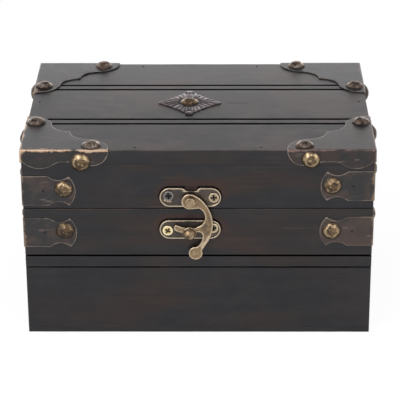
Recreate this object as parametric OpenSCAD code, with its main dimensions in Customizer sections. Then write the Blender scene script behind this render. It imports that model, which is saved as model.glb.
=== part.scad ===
// Small wooden jewelry box with a hinged lid, metal corner fittings and a swing-hook latch.
// Units are millimetres. +Z is up, the front faces -Y, and the origin is the middle of the underside.

/* [Box] */
// Overall width of the wooden box
box_width = 160; // [140:1:220]
// Overall depth of the wooden box
box_depth = 110; // [106:1:170]
// Height of the base, up to the seam
seam_height = 64; // [56:0.5:110]
// Height of the lid above the seam
lid_height = 29; // [28:0.5:50]
// Thickness of the base walls and the lid rails
wall_thickness = 7; // [6.8:0.1:10]
// Thickness of the bottom board, which lies under the walls
bottom_thickness = 2.8; // [2.5:0.1:6]
// Thickness of the top board, which lies over the lid rails
top_thickness = 7; // [6.8:0.1:8]

/* [Grooves] */
// Depth of every saw groove
groove_depth = 1; // [0.4:0.1:2]
// Width of the grooves around the base
wall_groove_width = 0.9; // [0.5:0.1:2]
// Drop from the seam to the upper groove of the base
upper_groove_drop = 23.8; // [22.5:0.1:30]
// Spacing of the two grooves of the base
wall_groove_pitch = 6; // [3:0.1:9]
// Width of the grooves in the top board
top_groove_width = 1.3; // [0.5:0.1:2]
// Distance from the front face to the first groove of the front pair
front_groove_inset = 31.3; // [28.5:0.1:34]
// Distance from the rear face to the first groove of the rear pair
rear_groove_inset = 29.2; // [28.5:0.1:31]
// Spacing of the two grooves of a pair in the top board
top_groove_pitch = 5.6; // [3:0.1:7]

/* [Dome nails] */
// Diameter of a nail's domed head
dome_diameter = 8.6; // [6:0.1:9]
// Height of a nail's domed head
dome_height = 2.5; // [1.5:0.1:3]
// Diameter of a nail's shank
shank_diameter = 1.2; // [0.8:0.1:1.6]
// Length of a nail's shank under its head
shank_length = 5.6; // [4:0.1:6]

/* [Corner protectors] */
// Thickness of the protectors' sheet metal
protector_metal = 0.6; // [0.4:0.1:1]
// Length of each arm, from the box's corner to its tip
protector_arm = 39.6; // [38:0.1:46]
// Radius of the rounded lobe that ends each arm on the lid's top
top_lobe_radius = 11.4; // [10:0.1:12]
// Distance from the lid's edges to the point between the two scallops
cusp_inset = 21; // [20:0.1:22]
// Radius of the two scallops
scallop_radius = 9.2; // [8.5:0.1:9.5]
// Radius of the rounded lobe that ends each arm's flange
flange_lobe_radius = 7.3; // [7:0.1:7.8]
// Height of the flanges between their lobes
flange_height = 5.5; // [4.5:0.1:5.8]
// Height of the flanges' lobe next to the corner
corner_lobe_height = 8.8; // [8:0.1:9]
// Distance from the corner to the lowest point of that lobe
corner_lobe_place = 8.5; // [7:0.1:10]
// Radius of that lobe
corner_lobe_radius = 10.5; // [10:0.1:12]
// Radius of the hollow that blends that lobe into the flange
flange_hollow_radius = 6; // [4:0.1:6.5]
// Distance from the corner to the top nails
top_nail_place = 31.7; // [31.5:0.1:34]
// Distance from the lid's edge to the top nails
top_nail_inset = 4.2; // [4:0.1:6]
// Distance from the front left corner to its flange nails
flange_nail_place_left = 27; // [26:0.1:28]
// Distance from the other corners to their flange nails
flange_nail_place = 28.9; // [27.5:0.1:29]
// Drop from the lid's top to the front left corner's flange nails
flange_nail_drop_left = 5.3; // [4.4:0.1:5.8]
// Drop from the lid's top to the other corners' flange nails
flange_nail_drop = 4.1; // [4:0.1:5.8]

/* [Straps] */
// Thickness of the straps' sheet metal
strap_metal = 0.4; // [0.3:0.1:0.8]
// Length of each strap arm, from the box's corner
strap_length = 24.3; // [23:0.1:30]
// Width of the straps
strap_width = 14.6; // [12:0.1:14.8]
// Bulge of the strap's rounded end beyond its two tips
strap_bulge = 3.1; // [1:0.1:4]
// Distance from the corner to the narrow neck
neck_place = 16.6; // [15:0.1:17]
// Depth of the neck's hollow on each side
neck_depth = 1.9; // [1:0.1:2.5]
// Length of the neck's hollow along the strap
neck_length = 9.3; // [7:0.1:10]
// Distance from the corner to the strap's nail
strap_nail_place = 18.9; // [18:0.1:20]
// Distance from the corner to the empty pin hole
pin_hole_place = 9.4; // [6:0.1:11]
// Diameter of the empty pin hole
pin_hole_diameter = 1; // [0.6:0.1:1.6]
// Height of the middle of the front left lid strap above the seam
lid_strap_rise_left = 9.1; // [8:0.1:9.5]
// Height of the middle of the other lid straps above the seam
lid_strap_rise = 11.5; // [10.8:0.1:12]
// Drop from the seam to the middle of the front left base strap
base_strap_drop_left = 11.9; // [10:0.1:13]
// Drop from the seam to the middle of the other base straps
base_strap_drop = 11.2; // [10:0.1:13]
// Height of the nails above the middle of the front left straps
strap_nail_lift_left = 1.2; // [0:0.1:1.6]
// Height of the nails above the middle of the other straps
strap_nail_lift = 0.4; // [0:0.1:1.6]

/* [Lid ornament] */
// Width of the diamond ornament, along X
diamond_width = 30.3; // [20:0.1:40]
// Depth of the diamond ornament, along Y
diamond_depth = 32.2; // [20:0.1:33]
// Thickness of the diamond ornament with its relief
diamond_thickness = 1; // [0.5:0.1:1.2]
// Place of the ornament along X
diamond_x = -4.5; // [-10:0.1:10]
// Place of the ornament behind the middle between the grooves
diamond_shift = 1; // [0:0.1:1.2]
// Radius of the small petals near the front and rear points
petal_radius = 2.3; // [1:0.1:3]

/* [Latch] */
// Place of the latch's pivot along X
latch_x = -3.5; // [-10:0.1:10]
// Height of the pivot above the seam
pivot_rise = 4.5; // [4.3:0.1:4.8]
// Width of the latch plate and the catch plate
plate_width = 28.1; // [26:0.1:30]
// Height of the latch plate and the catch plate
plate_height = 9.4; // [9.2:0.1:10]
// Thickness of the plates at their raised rim
plate_thickness = 1; // [0.8:0.1:1.1]
// Width of the plates' raised rim
rim_width = 0.7; // [0.4:0.1:0.8]
// Depth of the plates' sunk field
field_depth = 0.3; // [0.1:0.1:0.4]
// Height of the latch plate's middle above the pivot
latch_plate_lift = 1.6; // [1.4:0.1:1.8]
// Drop from the pivot to the catch plate's middle
catch_plate_drop = 14.6; // [14.3:0.1:14.9]
// Shift of the catch plate to the left of the pivot
catch_plate_shift = 0.2; // [0:0.1:0.6]
// Distance from a plate's ends to its screws
plate_screw_inset = 3.8; // [3.7:0.1:4.4]
// Depth of the dip in the latch plate's upper edge
dip_depth = 1.5; // [1.2:0.1:1.7]
// Width of the dip's floor
dip_width = 4.9; // [4:0.1:6]
// Place of the dip's middle to the right of the pivot
dip_shift = 0.4; // [0:0.1:0.6]
// Radius of the rounded shoulders on both sides of the dip
dip_shoulder_radius = 2.7; // [2:0.1:3]
// Thickness of the hook's flat arm
hook_thickness = 1.4; // [1:0.1:1.5]
// Radius of the hook's eye
eye_radius = 3.8; // [3.6:0.1:4.2]
// Place of the eye's middle to the left of the pivot and above it
eye_shift = 0.3; // [0:0.1:0.5]
// Inner radius of the hook's finger about the pivot
finger_inner_radius = 13.15; // [13:0.05:13.3]
// Outer radius of the hook's finger about the pivot
finger_outer_radius = 15.3; // [15.1:0.05:15.5]
// Radius of the round thumb knob at the hook's end
thumb_radius = 3.2; // [2.8:0.1:3.3]
// Drop from the pivot to the thumb knob's middle
thumb_drop = 25.8; // [25:0.1:27]
// Place of the thumb knob's middle to the right of the pivot
thumb_shift = 2.3; // [2.2:0.1:2.5]
// Diameter of the rivet that the hook turns on
rivet_diameter = 2.4; // [2:0.1:2.6]
// Diameter of the rivet's flat head
rivet_head_diameter = 5; // [4:0.1:6]
// Thickness of the rivet's head
rivet_head_thickness = 0.8; // [0.5:0.1:1.2]
// Radius of the catch's domed knob
catch_knob_radius = 3.1; // [2.6:0.1:3.3]
// Height of the catch knob's dome
catch_dome_height = 2.6; // [1.8:0.1:2.8]
// Thickness of the catch knob's flat back
catch_back_thickness = 0.6; // [0.4:0.1:1]
// Width of the flat edge around the catch knob's dome
catch_edge = 0.2; // [0.1:0.05:0.5]
// Diameter of the catch's stem
catch_stem_diameter = 1.2; // [1:0.1:1.4]
// Diameter of the latch screws' heads
latch_screw_head = 4.8; // [4:0.1:4.8]
// Thickness of the latch screws' heads
latch_screw_head_height = 0.6; // [0.4:0.1:0.6]
// Diameter of the latch screws' shanks
latch_screw_diameter = 2; // [1.5:0.1:2.2]
// Length of the latch screws under their heads
latch_screw_length = 6; // [4:0.1:6]

/* [Hinges] */
// Distance from the middle of the box to each hinge
hinge_place = 44; // [25:0.5:46]
// Length of a hinge
hinge_length = 18; // [14:0.5:24]
// Distance from the rear face in to the hinge pins
hinge_inset = 1.5; // [1.5:0.1:1.7]
// Reach of a hinge leaf from the pin
leaf_reach = 5; // [4.8:0.1:5]
// Thickness of a hinge leaf
leaf_thickness = 0.8; // [0.7:0.1:1]
// Diameter of a hinge barrel
barrel_diameter = 2.8; // [2.4:0.1:2.9]
// Diameter of a hinge pin
pin_diameter = 1.2; // [0.8:0.1:1.4]
// Opening angle at which the rear bevels of lid and base meet
stop_angle = 105; // [100:1:110]
// Distance from a hinge's middle to each screw
hinge_screw_place = 5.8; // [4.6:0.1:6]
// Diameter of the hinge screws' heads
hinge_screw_head = 2.4; // [2.2:0.1:2.5]
// Diameter of the hinge screws' shanks
hinge_screw_diameter = 1.3; // [1:0.1:1.5]
// Length of the hinge screws
hinge_screw_length = 6; // [4:0.5:8]

/* [Brads] */
// Diameter of the headless brads
brad_diameter = 1; // [0.6:0.1:1.4]
// Length that a brad reaches into a wall or rail
brad_reach = 7; // [4:0.5:10]
// Depth of a brad's end below the surface it was driven into
brad_set = 0.4; // [0.1:0.1:0.8]
// Distance from the middle to the brads along the front and rear
brad_place_x = 28.5; // [20:0.5:34]
// Distance from the middle to the bottom brads along the sides
brad_place_y = 26; // [15:0.5:28]
// Shift of the single brad over each side rail of the lid
side_brad_shift = 4; // [0:0.5:8]

/* [Hidden] */
$fn = 72;

// Clearances
hole_gap = 0.05; // around a shank, a pin or a bore
sheet_gap = 0.1; // between flat moving faces
wood_gap = 0.3; // between moving metal and anything beside it
cut = 1; // how far a cutting tool reaches past the wood

// Colours
wood_colour = "#3b3a3b";
strap_colour = "#5c5148";
protector_colour = "#727177";
nail_colour = "#9c7a4a";
latch_colour = "#877a60";
screw_colour = "#b39a62";
steel_colour = "#8a8a88";

// Derived sizes
box_height = seam_height + lid_height;
rail_height = lid_height - top_thickness;
rail_top = seam_height + rail_height;
wall_height = seam_height - bottom_thickness;
inner_depth = box_depth - 2 * wall_thickness;
pivot_z = seam_height + pivot_rise;
corners = [[-1, -1], [1, -1], [-1, 1], [1, 1]];
lobe_place = protector_arm - top_lobe_radius;
flange_lobe_place = protector_arm - flange_lobe_radius;
top_middle_y = (front_groove_inset - rear_groove_inset) / 2;
shank_hole = shank_diameter / 2 + hole_gap;
diamond_place = [diamond_x, top_middle_y + diamond_shift, box_height];

// Heights of the latch's layers in front of the wood
field_height = plate_thickness - field_depth;
hook_back = field_height + latch_screw_head_height + wood_gap;
hook_front = hook_back + hook_thickness;
// The lid carries the thumb knob forward as it rises, so the catch's knob stands this far out
thumb_back = hook_back - 2 * wood_gap;
thumb_front = hook_front + 2 * sheet_gap;
hook_reach = thumb_drop + thumb_radius - pivot_rise;
lid_lever = box_depth - hinge_inset;
forward_swing = sqrt(pow(hook_reach, 2) + pow(lid_lever, 2)) - lid_lever;
catch_knob_back = thumb_front + forward_swing + sheet_gap;
catch_knob_x = -0.4;
catch_knob_drop = 14;
catch_stem_x = -1.95;
catch_stem_place = finger_outer_radius + wood_gap + catch_stem_diameter / 2;
catch_stem_drop = sqrt(pow(catch_stem_place, 2) - pow(catch_stem_x, 2));
collar_ledge = 0.8;

// How far the hand-set screws stand off their nominal places, left one first
latch_screw_slips = [[0.3, 0.9], [0.4, 0]];
catch_screw_slips = [[0, -0.4], [0.3, 0.9]];

// Hinge
barrel_radius = barrel_diameter / 2;
barrel_space = barrel_radius + wood_gap;
leaf_recess = leaf_thickness + sheet_gap;
hinge_y = box_depth / 2 - hinge_inset;
bevel_drop = hinge_inset * tan(stop_angle / 2);
knuckle_length = hinge_length / 3;
countersink = (hinge_screw_head - hinge_screw_diameter) / 2;
leaf_screw_reach = leaf_reach - hinge_screw_head / 2 - wood_gap;

// ---- Places ----

// Draws in the frame of one corner: +X runs in along the front or rear face, +Y along the side face
module at_corner(corner) {
    translate([corner[0] * box_width / 2, corner[1] * box_depth / 2, 0])
        mirror([corner[0] > 0 ? 1 : 0, 0, 0])
            mirror([0, corner[1] > 0 ? 1 : 0, 0])
                children();
}

// Draws once on the corner's front or rear face and once, swapped over, on its side face
module on_both_faces() {
    children();
    mirror([1, -1, 0]) children();
}

// Stands a flat drawing up against the front or rear face, with its +Z pointing outward
module facing_out() {
    rotate([90, 0, 0]) children();
}

// Draws flat on the front face about the latch's pivot
module on_latch() {
    translate([latch_x, -box_depth / 2, pivot_z]) facing_out() children();
}

module at_hinge(side) {
    translate([side * hinge_place, hinge_y, seam_height]) children();
}

// The fittings of the front left corner sit a little off those of the others
function is_front_left(corner) = corner == corners[0];
function flange_nail_distance(corner) = is_front_left(corner) ? flange_nail_place_left : flange_nail_place;
function flange_nail_depth(corner) = is_front_left(corner) ? flange_nail_drop_left : flange_nail_drop;
function lid_strap_height(corner) =
    seam_height + (is_front_left(corner) ? lid_strap_rise_left : lid_strap_rise);
function base_strap_height(corner) =
    seam_height - (is_front_left(corner) ? base_strap_drop_left : base_strap_drop);
function nail_lift(corner) = is_front_left(corner) ? strap_nail_lift_left : strap_nail_lift;

module protector_nail_places() {
    for (corner = corners)
        at_corner(corner) on_both_faces() {
            translate([top_nail_place, top_nail_inset, box_height]) children();
            translate([flange_nail_distance(corner), 0, box_height - flange_nail_depth(corner)])
                facing_out() children();
        }
}

module lid_strap_nail_places() {
    for (corner = corners)
        at_corner(corner) on_both_faces()
            translate([strap_nail_place, 0, lid_strap_height(corner) + nail_lift(corner)])
                facing_out() children();
}

module base_strap_nail_places() {
    for (corner = corners)
        at_corner(corner) on_both_faces()
            translate([strap_nail_place, 0, base_strap_height(corner) + nail_lift(corner)])
                facing_out() children();
}

// The places of a plate's two screws, from the plate's middle
module plate_screw_places(slips) {
    for (side = [0, 1])
        translate([(2 * side - 1) * (plate_width / 2 - plate_screw_inset), 0, field_height])
            translate(slips[side]) children();
}

module latch_screw_places() {
    translate([0, latch_plate_lift]) plate_screw_places(latch_screw_slips) children();
}

module catch_screw_places() {
    translate([-catch_plate_shift, -catch_plate_drop]) plate_screw_places(catch_screw_slips) children();
}

module hinge_screw_places() {
    for (hinge = [-1, 1], side = [-1, 1])
        at_hinge(hinge) translate([side * hinge_screw_place, -leaf_screw_reach, 0]) children();
}

module top_brad_places() {
    for (side = [-1, 1]) {
        for (end = [-1, 1])
            translate([side * brad_place_x, end * (box_depth - wall_thickness) / 2, box_height])
                rotate([180, 0, 0]) children();
        translate([side * (box_width - wall_thickness) / 2, side_brad_shift, box_height])
            rotate([180, 0, 0]) children();
    }
}

module bottom_brad_places() {
    for (side = [-1, 1], end = [-1, 1]) {
        translate([side * brad_place_x, end * (box_depth - wall_thickness) / 2, 0]) children();
        translate([side * (box_width - wall_thickness) / 2, end * brad_place_y, 0]) children();
    }
}

// ---- Fasteners ----

// A domed nail driven through sheet metal whose back lies at z = 0
module dome_nail(metal) {
    cap_radius = (pow(dome_diameter / 2, 2) + pow(dome_height, 2)) / (2 * dome_height);
    translate([0, 0, metal]) {
        intersection() {
            translate([0, 0, dome_height - cap_radius]) sphere(r = cap_radius);
            cylinder(d = dome_diameter, h = dome_height);
        }
        translate([0, 0, -shank_length]) cylinder(d = shank_diameter, h = shank_length);
    }
}

module nail_hole(metal) {
    translate([0, 0, metal - shank_length - hole_gap])
        cylinder(r = shank_hole, h = shank_length + cut);
}

// A flat-headed screw with a crossed slot, its head's back at z = 0
module latch_screw() {
    slot_width = latch_screw_head / 7;
    slot_length = latch_screw_head * 0.6;
    difference() {
        cylinder(d = latch_screw_head, h = latch_screw_head_height);
        for (turn = [0, 90])
            rotate([0, 0, turn + 10])
                translate([-slot_length / 2, -slot_width / 2, latch_screw_head_height / 3])
                    cube([slot_length, slot_width, latch_screw_head_height]);
    }
    translate([0, 0, -latch_screw_length]) cylinder(d = latch_screw_diameter, h = latch_screw_length);
}

module latch_screw_hole() {
    translate([0, 0, -latch_screw_length - hole_gap])
        cylinder(r = latch_screw_diameter / 2 + hole_gap, h = latch_screw_length + cut);
}

// A countersunk screw whose flat head lies in the z = 0 plane and points up
module hinge_screw(gap) {
    rotate_extrude() polygon([
        [0, 0],
        [hinge_screw_head / 2 + gap, 0],
        [hinge_screw_diameter / 2 + gap, -countersink],
        [hinge_screw_diameter / 2 + gap, -hinge_screw_length - gap],
        [0, -hinge_screw_length - gap]]);
}

module brad(board) {
    translate([0, 0, brad_set]) cylinder(d = brad_diameter, h = board - brad_set + brad_reach);
}

module brad_hole(board) {
    translate([0, 0, -cut])
        cylinder(r = brad_diameter / 2 + hole_gap, h = cut + board + brad_reach + hole_gap);
}

// ---- Wood ----

// The two saw grooves around the base, as a tool that stands outside the walls
module wall_grooves() {
    core_width = box_width - 2 * groove_depth;
    core_depth = box_depth - 2 * groove_depth;
    for (drop = [upper_groove_drop, upper_groove_drop + wall_groove_pitch])
        translate([0, 0, seam_height - drop - wall_groove_width / 2])
            difference() {
                translate([-box_width / 2 - cut, -box_depth / 2 - cut, 0])
                    cube([box_width + 2 * cut, box_depth + 2 * cut, wall_groove_width]);
                translate([-core_width / 2, -core_depth / 2, -cut])
                    cube([core_width, core_depth, wall_groove_width + 2 * cut]);
            }
}

module top_grooves() {
    for (place = [0, top_groove_pitch], end = [-1, 1])
        translate([
            -box_width / 2 - cut,
            end * (box_depth / 2 - (end < 0 ? front_groove_inset : rear_groove_inset) - place)
                - top_groove_width / 2,
            box_height - groove_depth])
            cube([box_width + 2 * cut, top_groove_width, groove_depth + cut]);
}

// The bevel along the rear edge of the base or, turned over, of the lid
module rear_bevel() {
    reach = hinge_inset + cut;
    translate([-box_width / 2 - cut, hinge_y, seam_height])
        rotate([90, 0, 90])
            linear_extrude(box_width + 2 * cut)
                polygon([[0, 0], [reach, 0], [reach, -reach * tan(stop_angle / 2)]]);
}

// Everything that the hinges take out of the base's back board, seen from the seam down
module hinge_cuts() {
    for (side = [-1, 1])
        at_hinge(side) {
            translate([-hinge_length / 2 - sheet_gap, 0, 0])
                rotate([0, 90, 0]) cylinder(r = barrel_space, h = hinge_length + 2 * sheet_gap);
            translate([-hinge_length / 2 - sheet_gap, -leaf_reach - sheet_gap, -leaf_recess])
                cube([hinge_length + 2 * sheet_gap, leaf_reach + sheet_gap, leaf_recess + cut]);
        }
    hinge_screw_places() translate([0, 0, -sheet_gap]) hinge_screw(hole_gap);
}

// Turns what is drawn below the seam into what lies above it
module over_seam() {
    translate([0, 0, 2 * seam_height]) mirror([0, 0, 1]) children();
}

// A wall across the whole front or rear, from one height up
module end_wall(end, from, height) {
    translate([-box_width / 2, end * (box_depth - wall_thickness) / 2 - wall_thickness / 2, from])
        cube([box_width, wall_thickness, height]);
}

// A wall at one side, between the front and rear walls
module side_wall(side, from, height) {
    translate([side * (box_width - wall_thickness) / 2 - wall_thickness / 2, -inner_depth / 2, from])
        cube([wall_thickness, inner_depth, height]);
}

module base_bottom_board() {
    color(wood_colour)
        difference() {
            translate([-box_width / 2, -box_depth / 2, 0]) cube([box_width, box_depth, bottom_thickness]);
            bottom_brad_places() brad_hole(bottom_thickness);
        }
}

module base_front_board() {
    color(wood_colour)
        difference() {
            end_wall(-1, bottom_thickness, wall_height);
            wall_grooves();
            bottom_brad_places() brad_hole(bottom_thickness);
            base_strap_nail_places() nail_hole(strap_metal);
            on_latch() catch_screw_places() latch_screw_hole();
        }
}

module base_back_board() {
    color(wood_colour)
        difference() {
            end_wall(1, bottom_thickness, wall_height);
            wall_grooves();
            rear_bevel();
            hinge_cuts();
            bottom_brad_places() brad_hole(bottom_thickness);
            base_strap_nail_places() nail_hole(strap_metal);
        }
}

module base_side_board(side) {
    color(wood_colour)
        difference() {
            side_wall(side, bottom_thickness, wall_height);
            wall_grooves();
            bottom_brad_places() brad_hole(bottom_thickness);
            base_strap_nail_places() nail_hole(strap_metal);
        }
}

module lid_top_board() {
    color(wood_colour)
        difference() {
            translate([-box_width / 2, -box_depth / 2, rail_top]) cube([box_width, box_depth, top_thickness]);
            top_grooves();
            top_brad_places() brad_hole(top_thickness);
            protector_nail_places() nail_hole(protector_metal);
            translate(diamond_place) nail_hole(diamond_thickness);
        }
}

module lid_front_rail() {
    color(wood_colour)
        difference() {
            end_wall(-1, seam_height, rail_height);
            top_brad_places() brad_hole(top_thickness);
            lid_strap_nail_places() nail_hole(strap_metal);
            on_latch() latch_screw_places() latch_screw_hole();
        }
}

module lid_back_rail() {
    color(wood_colour)
        difference() {
            end_wall(1, seam_height, rail_height);
            over_seam() {
                rear_bevel();
                hinge_cuts();
            }
            top_brad_places() brad_hole(top_thickness);
            lid_strap_nail_places() nail_hole(strap_metal);
        }
}

module lid_side_rail(side) {
    color(wood_colour)
        difference() {
            side_wall(side, seam_height, rail_height);
            top_brad_places() brad_hole(top_thickness);
            lid_strap_nail_places() nail_hole(strap_metal);
        }
}

// ---- Corner protectors ----

// The leaf that lies on the lid's top, reaching one sheet thickness past the box's faces
module protector_leaf() {
    arm_width = top_lobe_radius + protector_metal;
    difference() {
        union() {
            polygon([
                [-protector_metal, -protector_metal],
                [lobe_place, -protector_metal],
                [lobe_place, arm_width],
                [cusp_inset, cusp_inset],
                [arm_width, lobe_place],
                [-protector_metal, lobe_place]]);
            on_both_faces()
                intersection() {
                    translate([lobe_place, protector_metal]) circle(r = top_lobe_radius);
                    translate([lobe_place, -protector_metal]) square(2 * top_lobe_radius);
                }
        }
        on_both_faces()
            translate([cusp_inset + scallop_radius, cusp_inset]) circle(r = scallop_radius);
    }
}

// The flange that is folded down over one face; its drawing's +Y points down the face
module protector_flange(nail_distance) {
    corner_lobe_middle = corner_lobe_height - corner_lobe_radius;
    hollow_middle = flange_height + flange_hollow_radius;
    hollow_rise = hollow_middle - corner_lobe_middle;
    hollow_place = corner_lobe_place
        + sqrt(pow(corner_lobe_radius + flange_hollow_radius, 2) - pow(hollow_rise, 2));
    intersection() {
        translate([-protector_metal, 0]) square([protector_arm + 2 * protector_metal, corner_lobe_height]);
        union() {
            translate([-protector_metal, 0]) square([flange_lobe_place + protector_metal, flange_height]);
            translate([nail_distance, 0]) square([flange_lobe_place - nail_distance, flange_lobe_radius]);
            for (place = [nail_distance, flange_lobe_place])
                translate([place, 0]) circle(r = flange_lobe_radius);
            translate([corner_lobe_place, corner_lobe_middle]) circle(r = corner_lobe_radius);
            difference() {
                polygon([
                    [corner_lobe_place, 0],
                    [corner_lobe_place, corner_lobe_middle],
                    [hollow_place, hollow_middle],
                    [hollow_place, 0]]);
                translate([hollow_place, hollow_middle]) circle(r = flange_hollow_radius);
            }
        }
    }
}

module protector(corner) {
    color(protector_colour)
        difference() {
            at_corner(corner) {
                translate([0, 0, box_height]) linear_extrude(protector_metal) protector_leaf();
                on_both_faces()
                    translate([0, 0, box_height]) facing_out()
                        linear_extrude(protector_metal) mirror([0, 1])
                            protector_flange(flange_nail_distance(corner));
            }
            protector_nail_places() nail_hole(protector_metal);
        }
}

// ---- Straps ----

// One arm of a strap, with its middle line along +X
module strap_arm() {
    end_radius = (pow(strap_width / 2, 2) + pow(strap_bulge, 2)) / (2 * strap_bulge);
    neck_radius = (pow(neck_length / 2, 2) + pow(neck_depth, 2)) / (2 * neck_depth);
    difference() {
        intersection() {
            translate([-strap_metal, -strap_width / 2]) square([strap_length + strap_metal, strap_width]);
            union() {
                translate([strap_length - end_radius, 0]) circle(r = end_radius);
                translate([-strap_metal, -strap_width / 2])
                    square([strap_length - end_radius + strap_metal, strap_width]);
            }
        }
        for (side = [-1, 1])
            translate([neck_place, side * (strap_width / 2 - neck_depth + neck_radius)])
                circle(r = neck_radius);
        translate([pin_hole_place, 0]) circle(d = pin_hole_diameter);
    }
}

module strap(corner, height) {
    at_corner(corner) translate([0, 0, height]) on_both_faces()
        facing_out() linear_extrude(strap_metal) strap_arm();
}

module lid_strap(corner) {
    color(strap_colour)
        difference() {
            strap(corner, lid_strap_height(corner));
            lid_strap_nail_places() nail_hole(strap_metal);
        }
}

module base_strap(corner) {
    color(strap_colour)
        difference() {
            strap(corner, base_strap_height(corner));
            base_strap_nail_places() nail_hole(strap_metal);
        }
}

module protector_nails() {
    color(nail_colour) protector_nail_places() dome_nail(protector_metal);
}

module lid_strap_nails() {
    color(nail_colour) lid_strap_nail_places() dome_nail(strap_metal);
}

module base_strap_nails() {
    color(nail_colour) base_strap_nail_places() dome_nail(strap_metal);
}

// ---- Lid ornament ----

// A diamond with slightly hollow sides, |x/a|^n + |y/b|^n = 1
module diamond_outline() {
    hollow = 2.3;
    step = 5;
    polygon([
        for (turn = [0 : step : 360 - step])
            [diamond_width / 2 * sign(cos(turn)) * pow(abs(cos(turn)), hollow),
             diamond_depth / 2 * sign(sin(turn)) * pow(abs(sin(turn)), hollow)]]);
}

module diamond_ornament() {
    petal_place = diamond_depth / 2 - petal_radius * 1.3;
    color(protector_colour)
        translate(diamond_place)
            difference() {
                linear_extrude(diamond_thickness) {
                    diamond_outline();
                    for (end = [-1, 1])
                        translate([0, end * petal_place]) circle(r = petal_radius);
                }
                nail_hole(diamond_thickness);
            }
}

module diamond_nail() {
    color(nail_colour) translate(diamond_place) dome_nail(diamond_thickness);
}

// ---- Latch ----

// Points along an arc, from one angle to the other
function arc(centre, radius, from, to) = [
    for (i = [0 : arc_steps])
        centre + radius * [cos(from + (to - from) * i / arc_steps), sin(from + (to - from) * i / arc_steps)]];
arc_steps = 12;

// A plate with half-round ends, drawn smaller all round by inset
module plate_outline(inset) {
    end_radius = plate_height / 2;
    for (side = [-1, 1])
        translate([side * (plate_width / 2 - end_radius), 0]) circle(r = end_radius - inset);
    square([plate_width - 2 * end_radius, plate_height - 2 * inset], center = true);
}

// The latch plate's outline, with a dip between two rounded shoulders
module latch_plate_outline(inset) {
    shoulder_place = dip_width / 2 + sqrt(2 * dip_shoulder_radius * dip_depth - pow(dip_depth, 2));
    offset(delta = -inset)
        difference() {
            plate_outline(0);
            translate([dip_shift, plate_height / 2])
                difference() {
                    square([2 * shoulder_place, 2 * dip_depth], center = true);
                    for (side = [-1, 1])
                        translate([side * shoulder_place, -dip_shoulder_radius])
                            circle(r = dip_shoulder_radius);
                }
        }
}

module latch_plate() {
    color(latch_colour)
        on_latch() difference() {
            translate([0, latch_plate_lift]) linear_extrude(plate_thickness) latch_plate_outline(0);
            translate([0, latch_plate_lift, field_height])
                linear_extrude(plate_thickness) latch_plate_outline(rim_width);
            latch_screw_places() latch_screw_hole();
            translate([0, 0, -cut])
                cylinder(r = rivet_diameter / 2 + hole_gap, h = plate_thickness + 2 * cut);
        }
}

module latch_plate_screws() {
    color(screw_colour) on_latch() latch_screw_places() latch_screw();
}

// The rivet: a shank from the plate's back, a collar behind the hook and a flat head in front of it
module latch_rivet() {
    collar_height = hook_back - sheet_gap - field_height;
    color(latch_colour)
        on_latch() {
            cylinder(d = rivet_diameter, h = hook_front + sheet_gap);
            translate([0, 0, field_height])
                cylinder(r = rivet_diameter / 2 + collar_ledge, h = collar_height);
            translate([0, 0, hook_front + sheet_gap])
                cylinder(d = rivet_head_diameter, h = rivet_head_thickness);
        }
}

// The hook's outline about its pivot: the eye, the inside of the bow, the finger that goes behind
// the catch's knob, the tail down to the thumb knob, and the outside of the bow back up to the eye
module hook_outline() {
    bow_centre = [-7.3, -11.3];
    bow_radius = 17.6;
    inner_centre = [1.6, -7.6];
    inner_radius = 5.1;
    finger_middle = (finger_inner_radius + finger_outer_radius) / 2;
    finger_half = (finger_outer_radius - finger_inner_radius) / 2;
    tip_angle = -117.5;
    fillet_radius = 1.3;
    fillet_centre = [3.9, -finger_outer_radius - 0.8 * fillet_radius];
    tail_centre = [-1.3, -17.2];
    tail_radius = 6.8;
    thumb_centre = [thumb_shift, -thumb_drop];
    polygon(concat(
        arc([-eye_shift, eye_shift], eye_radius, 62, 272),
        arc(inner_centre, inner_radius, 62, -75),
        arc([0, 0], finger_inner_radius, -78, tip_angle),
        arc(finger_middle * [cos(tip_angle), sin(tip_angle)], finger_half, tip_angle + 180, tip_angle + 360),
        arc([0, 0], finger_outer_radius, tip_angle, -78),
        arc(fillet_centre, fillet_radius, 100, 15),
        arc(tail_centre, tail_radius, 8, -50),
        arc(thumb_centre, thumb_radius, 95, 385),
        arc(bow_centre, bow_radius, -25, 52)));
}

module latch_hook() {
    color(latch_colour)
        on_latch() difference() {
            union() {
                translate([0, 0, hook_back]) linear_extrude(hook_thickness) hook_outline();
                translate([thumb_shift, -thumb_drop, thumb_back])
                    cylinder(r = thumb_radius, h = thumb_front - thumb_back);
            }
            translate([0, 0, -cut]) cylinder(r = rivet_diameter / 2 + hole_gap, h = hook_front + 2 * cut);
        }
}

module catch_plate() {
    color(latch_colour)
        on_latch() difference() {
            translate([-catch_plate_shift, -catch_plate_drop, 0])
                linear_extrude(plate_thickness) plate_outline(0);
            translate([-catch_plate_shift, -catch_plate_drop, field_height])
                linear_extrude(plate_thickness) plate_outline(rim_width);
            catch_screw_places() latch_screw_hole();
            translate([catch_stem_x, -catch_stem_drop, -cut])
                cylinder(r = catch_stem_diameter / 2 + hole_gap, h = plate_thickness + 2 * cut);
        }
}

module catch_plate_screws() {
    color(screw_colour) on_latch() catch_screw_places() latch_screw();
}

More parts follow.
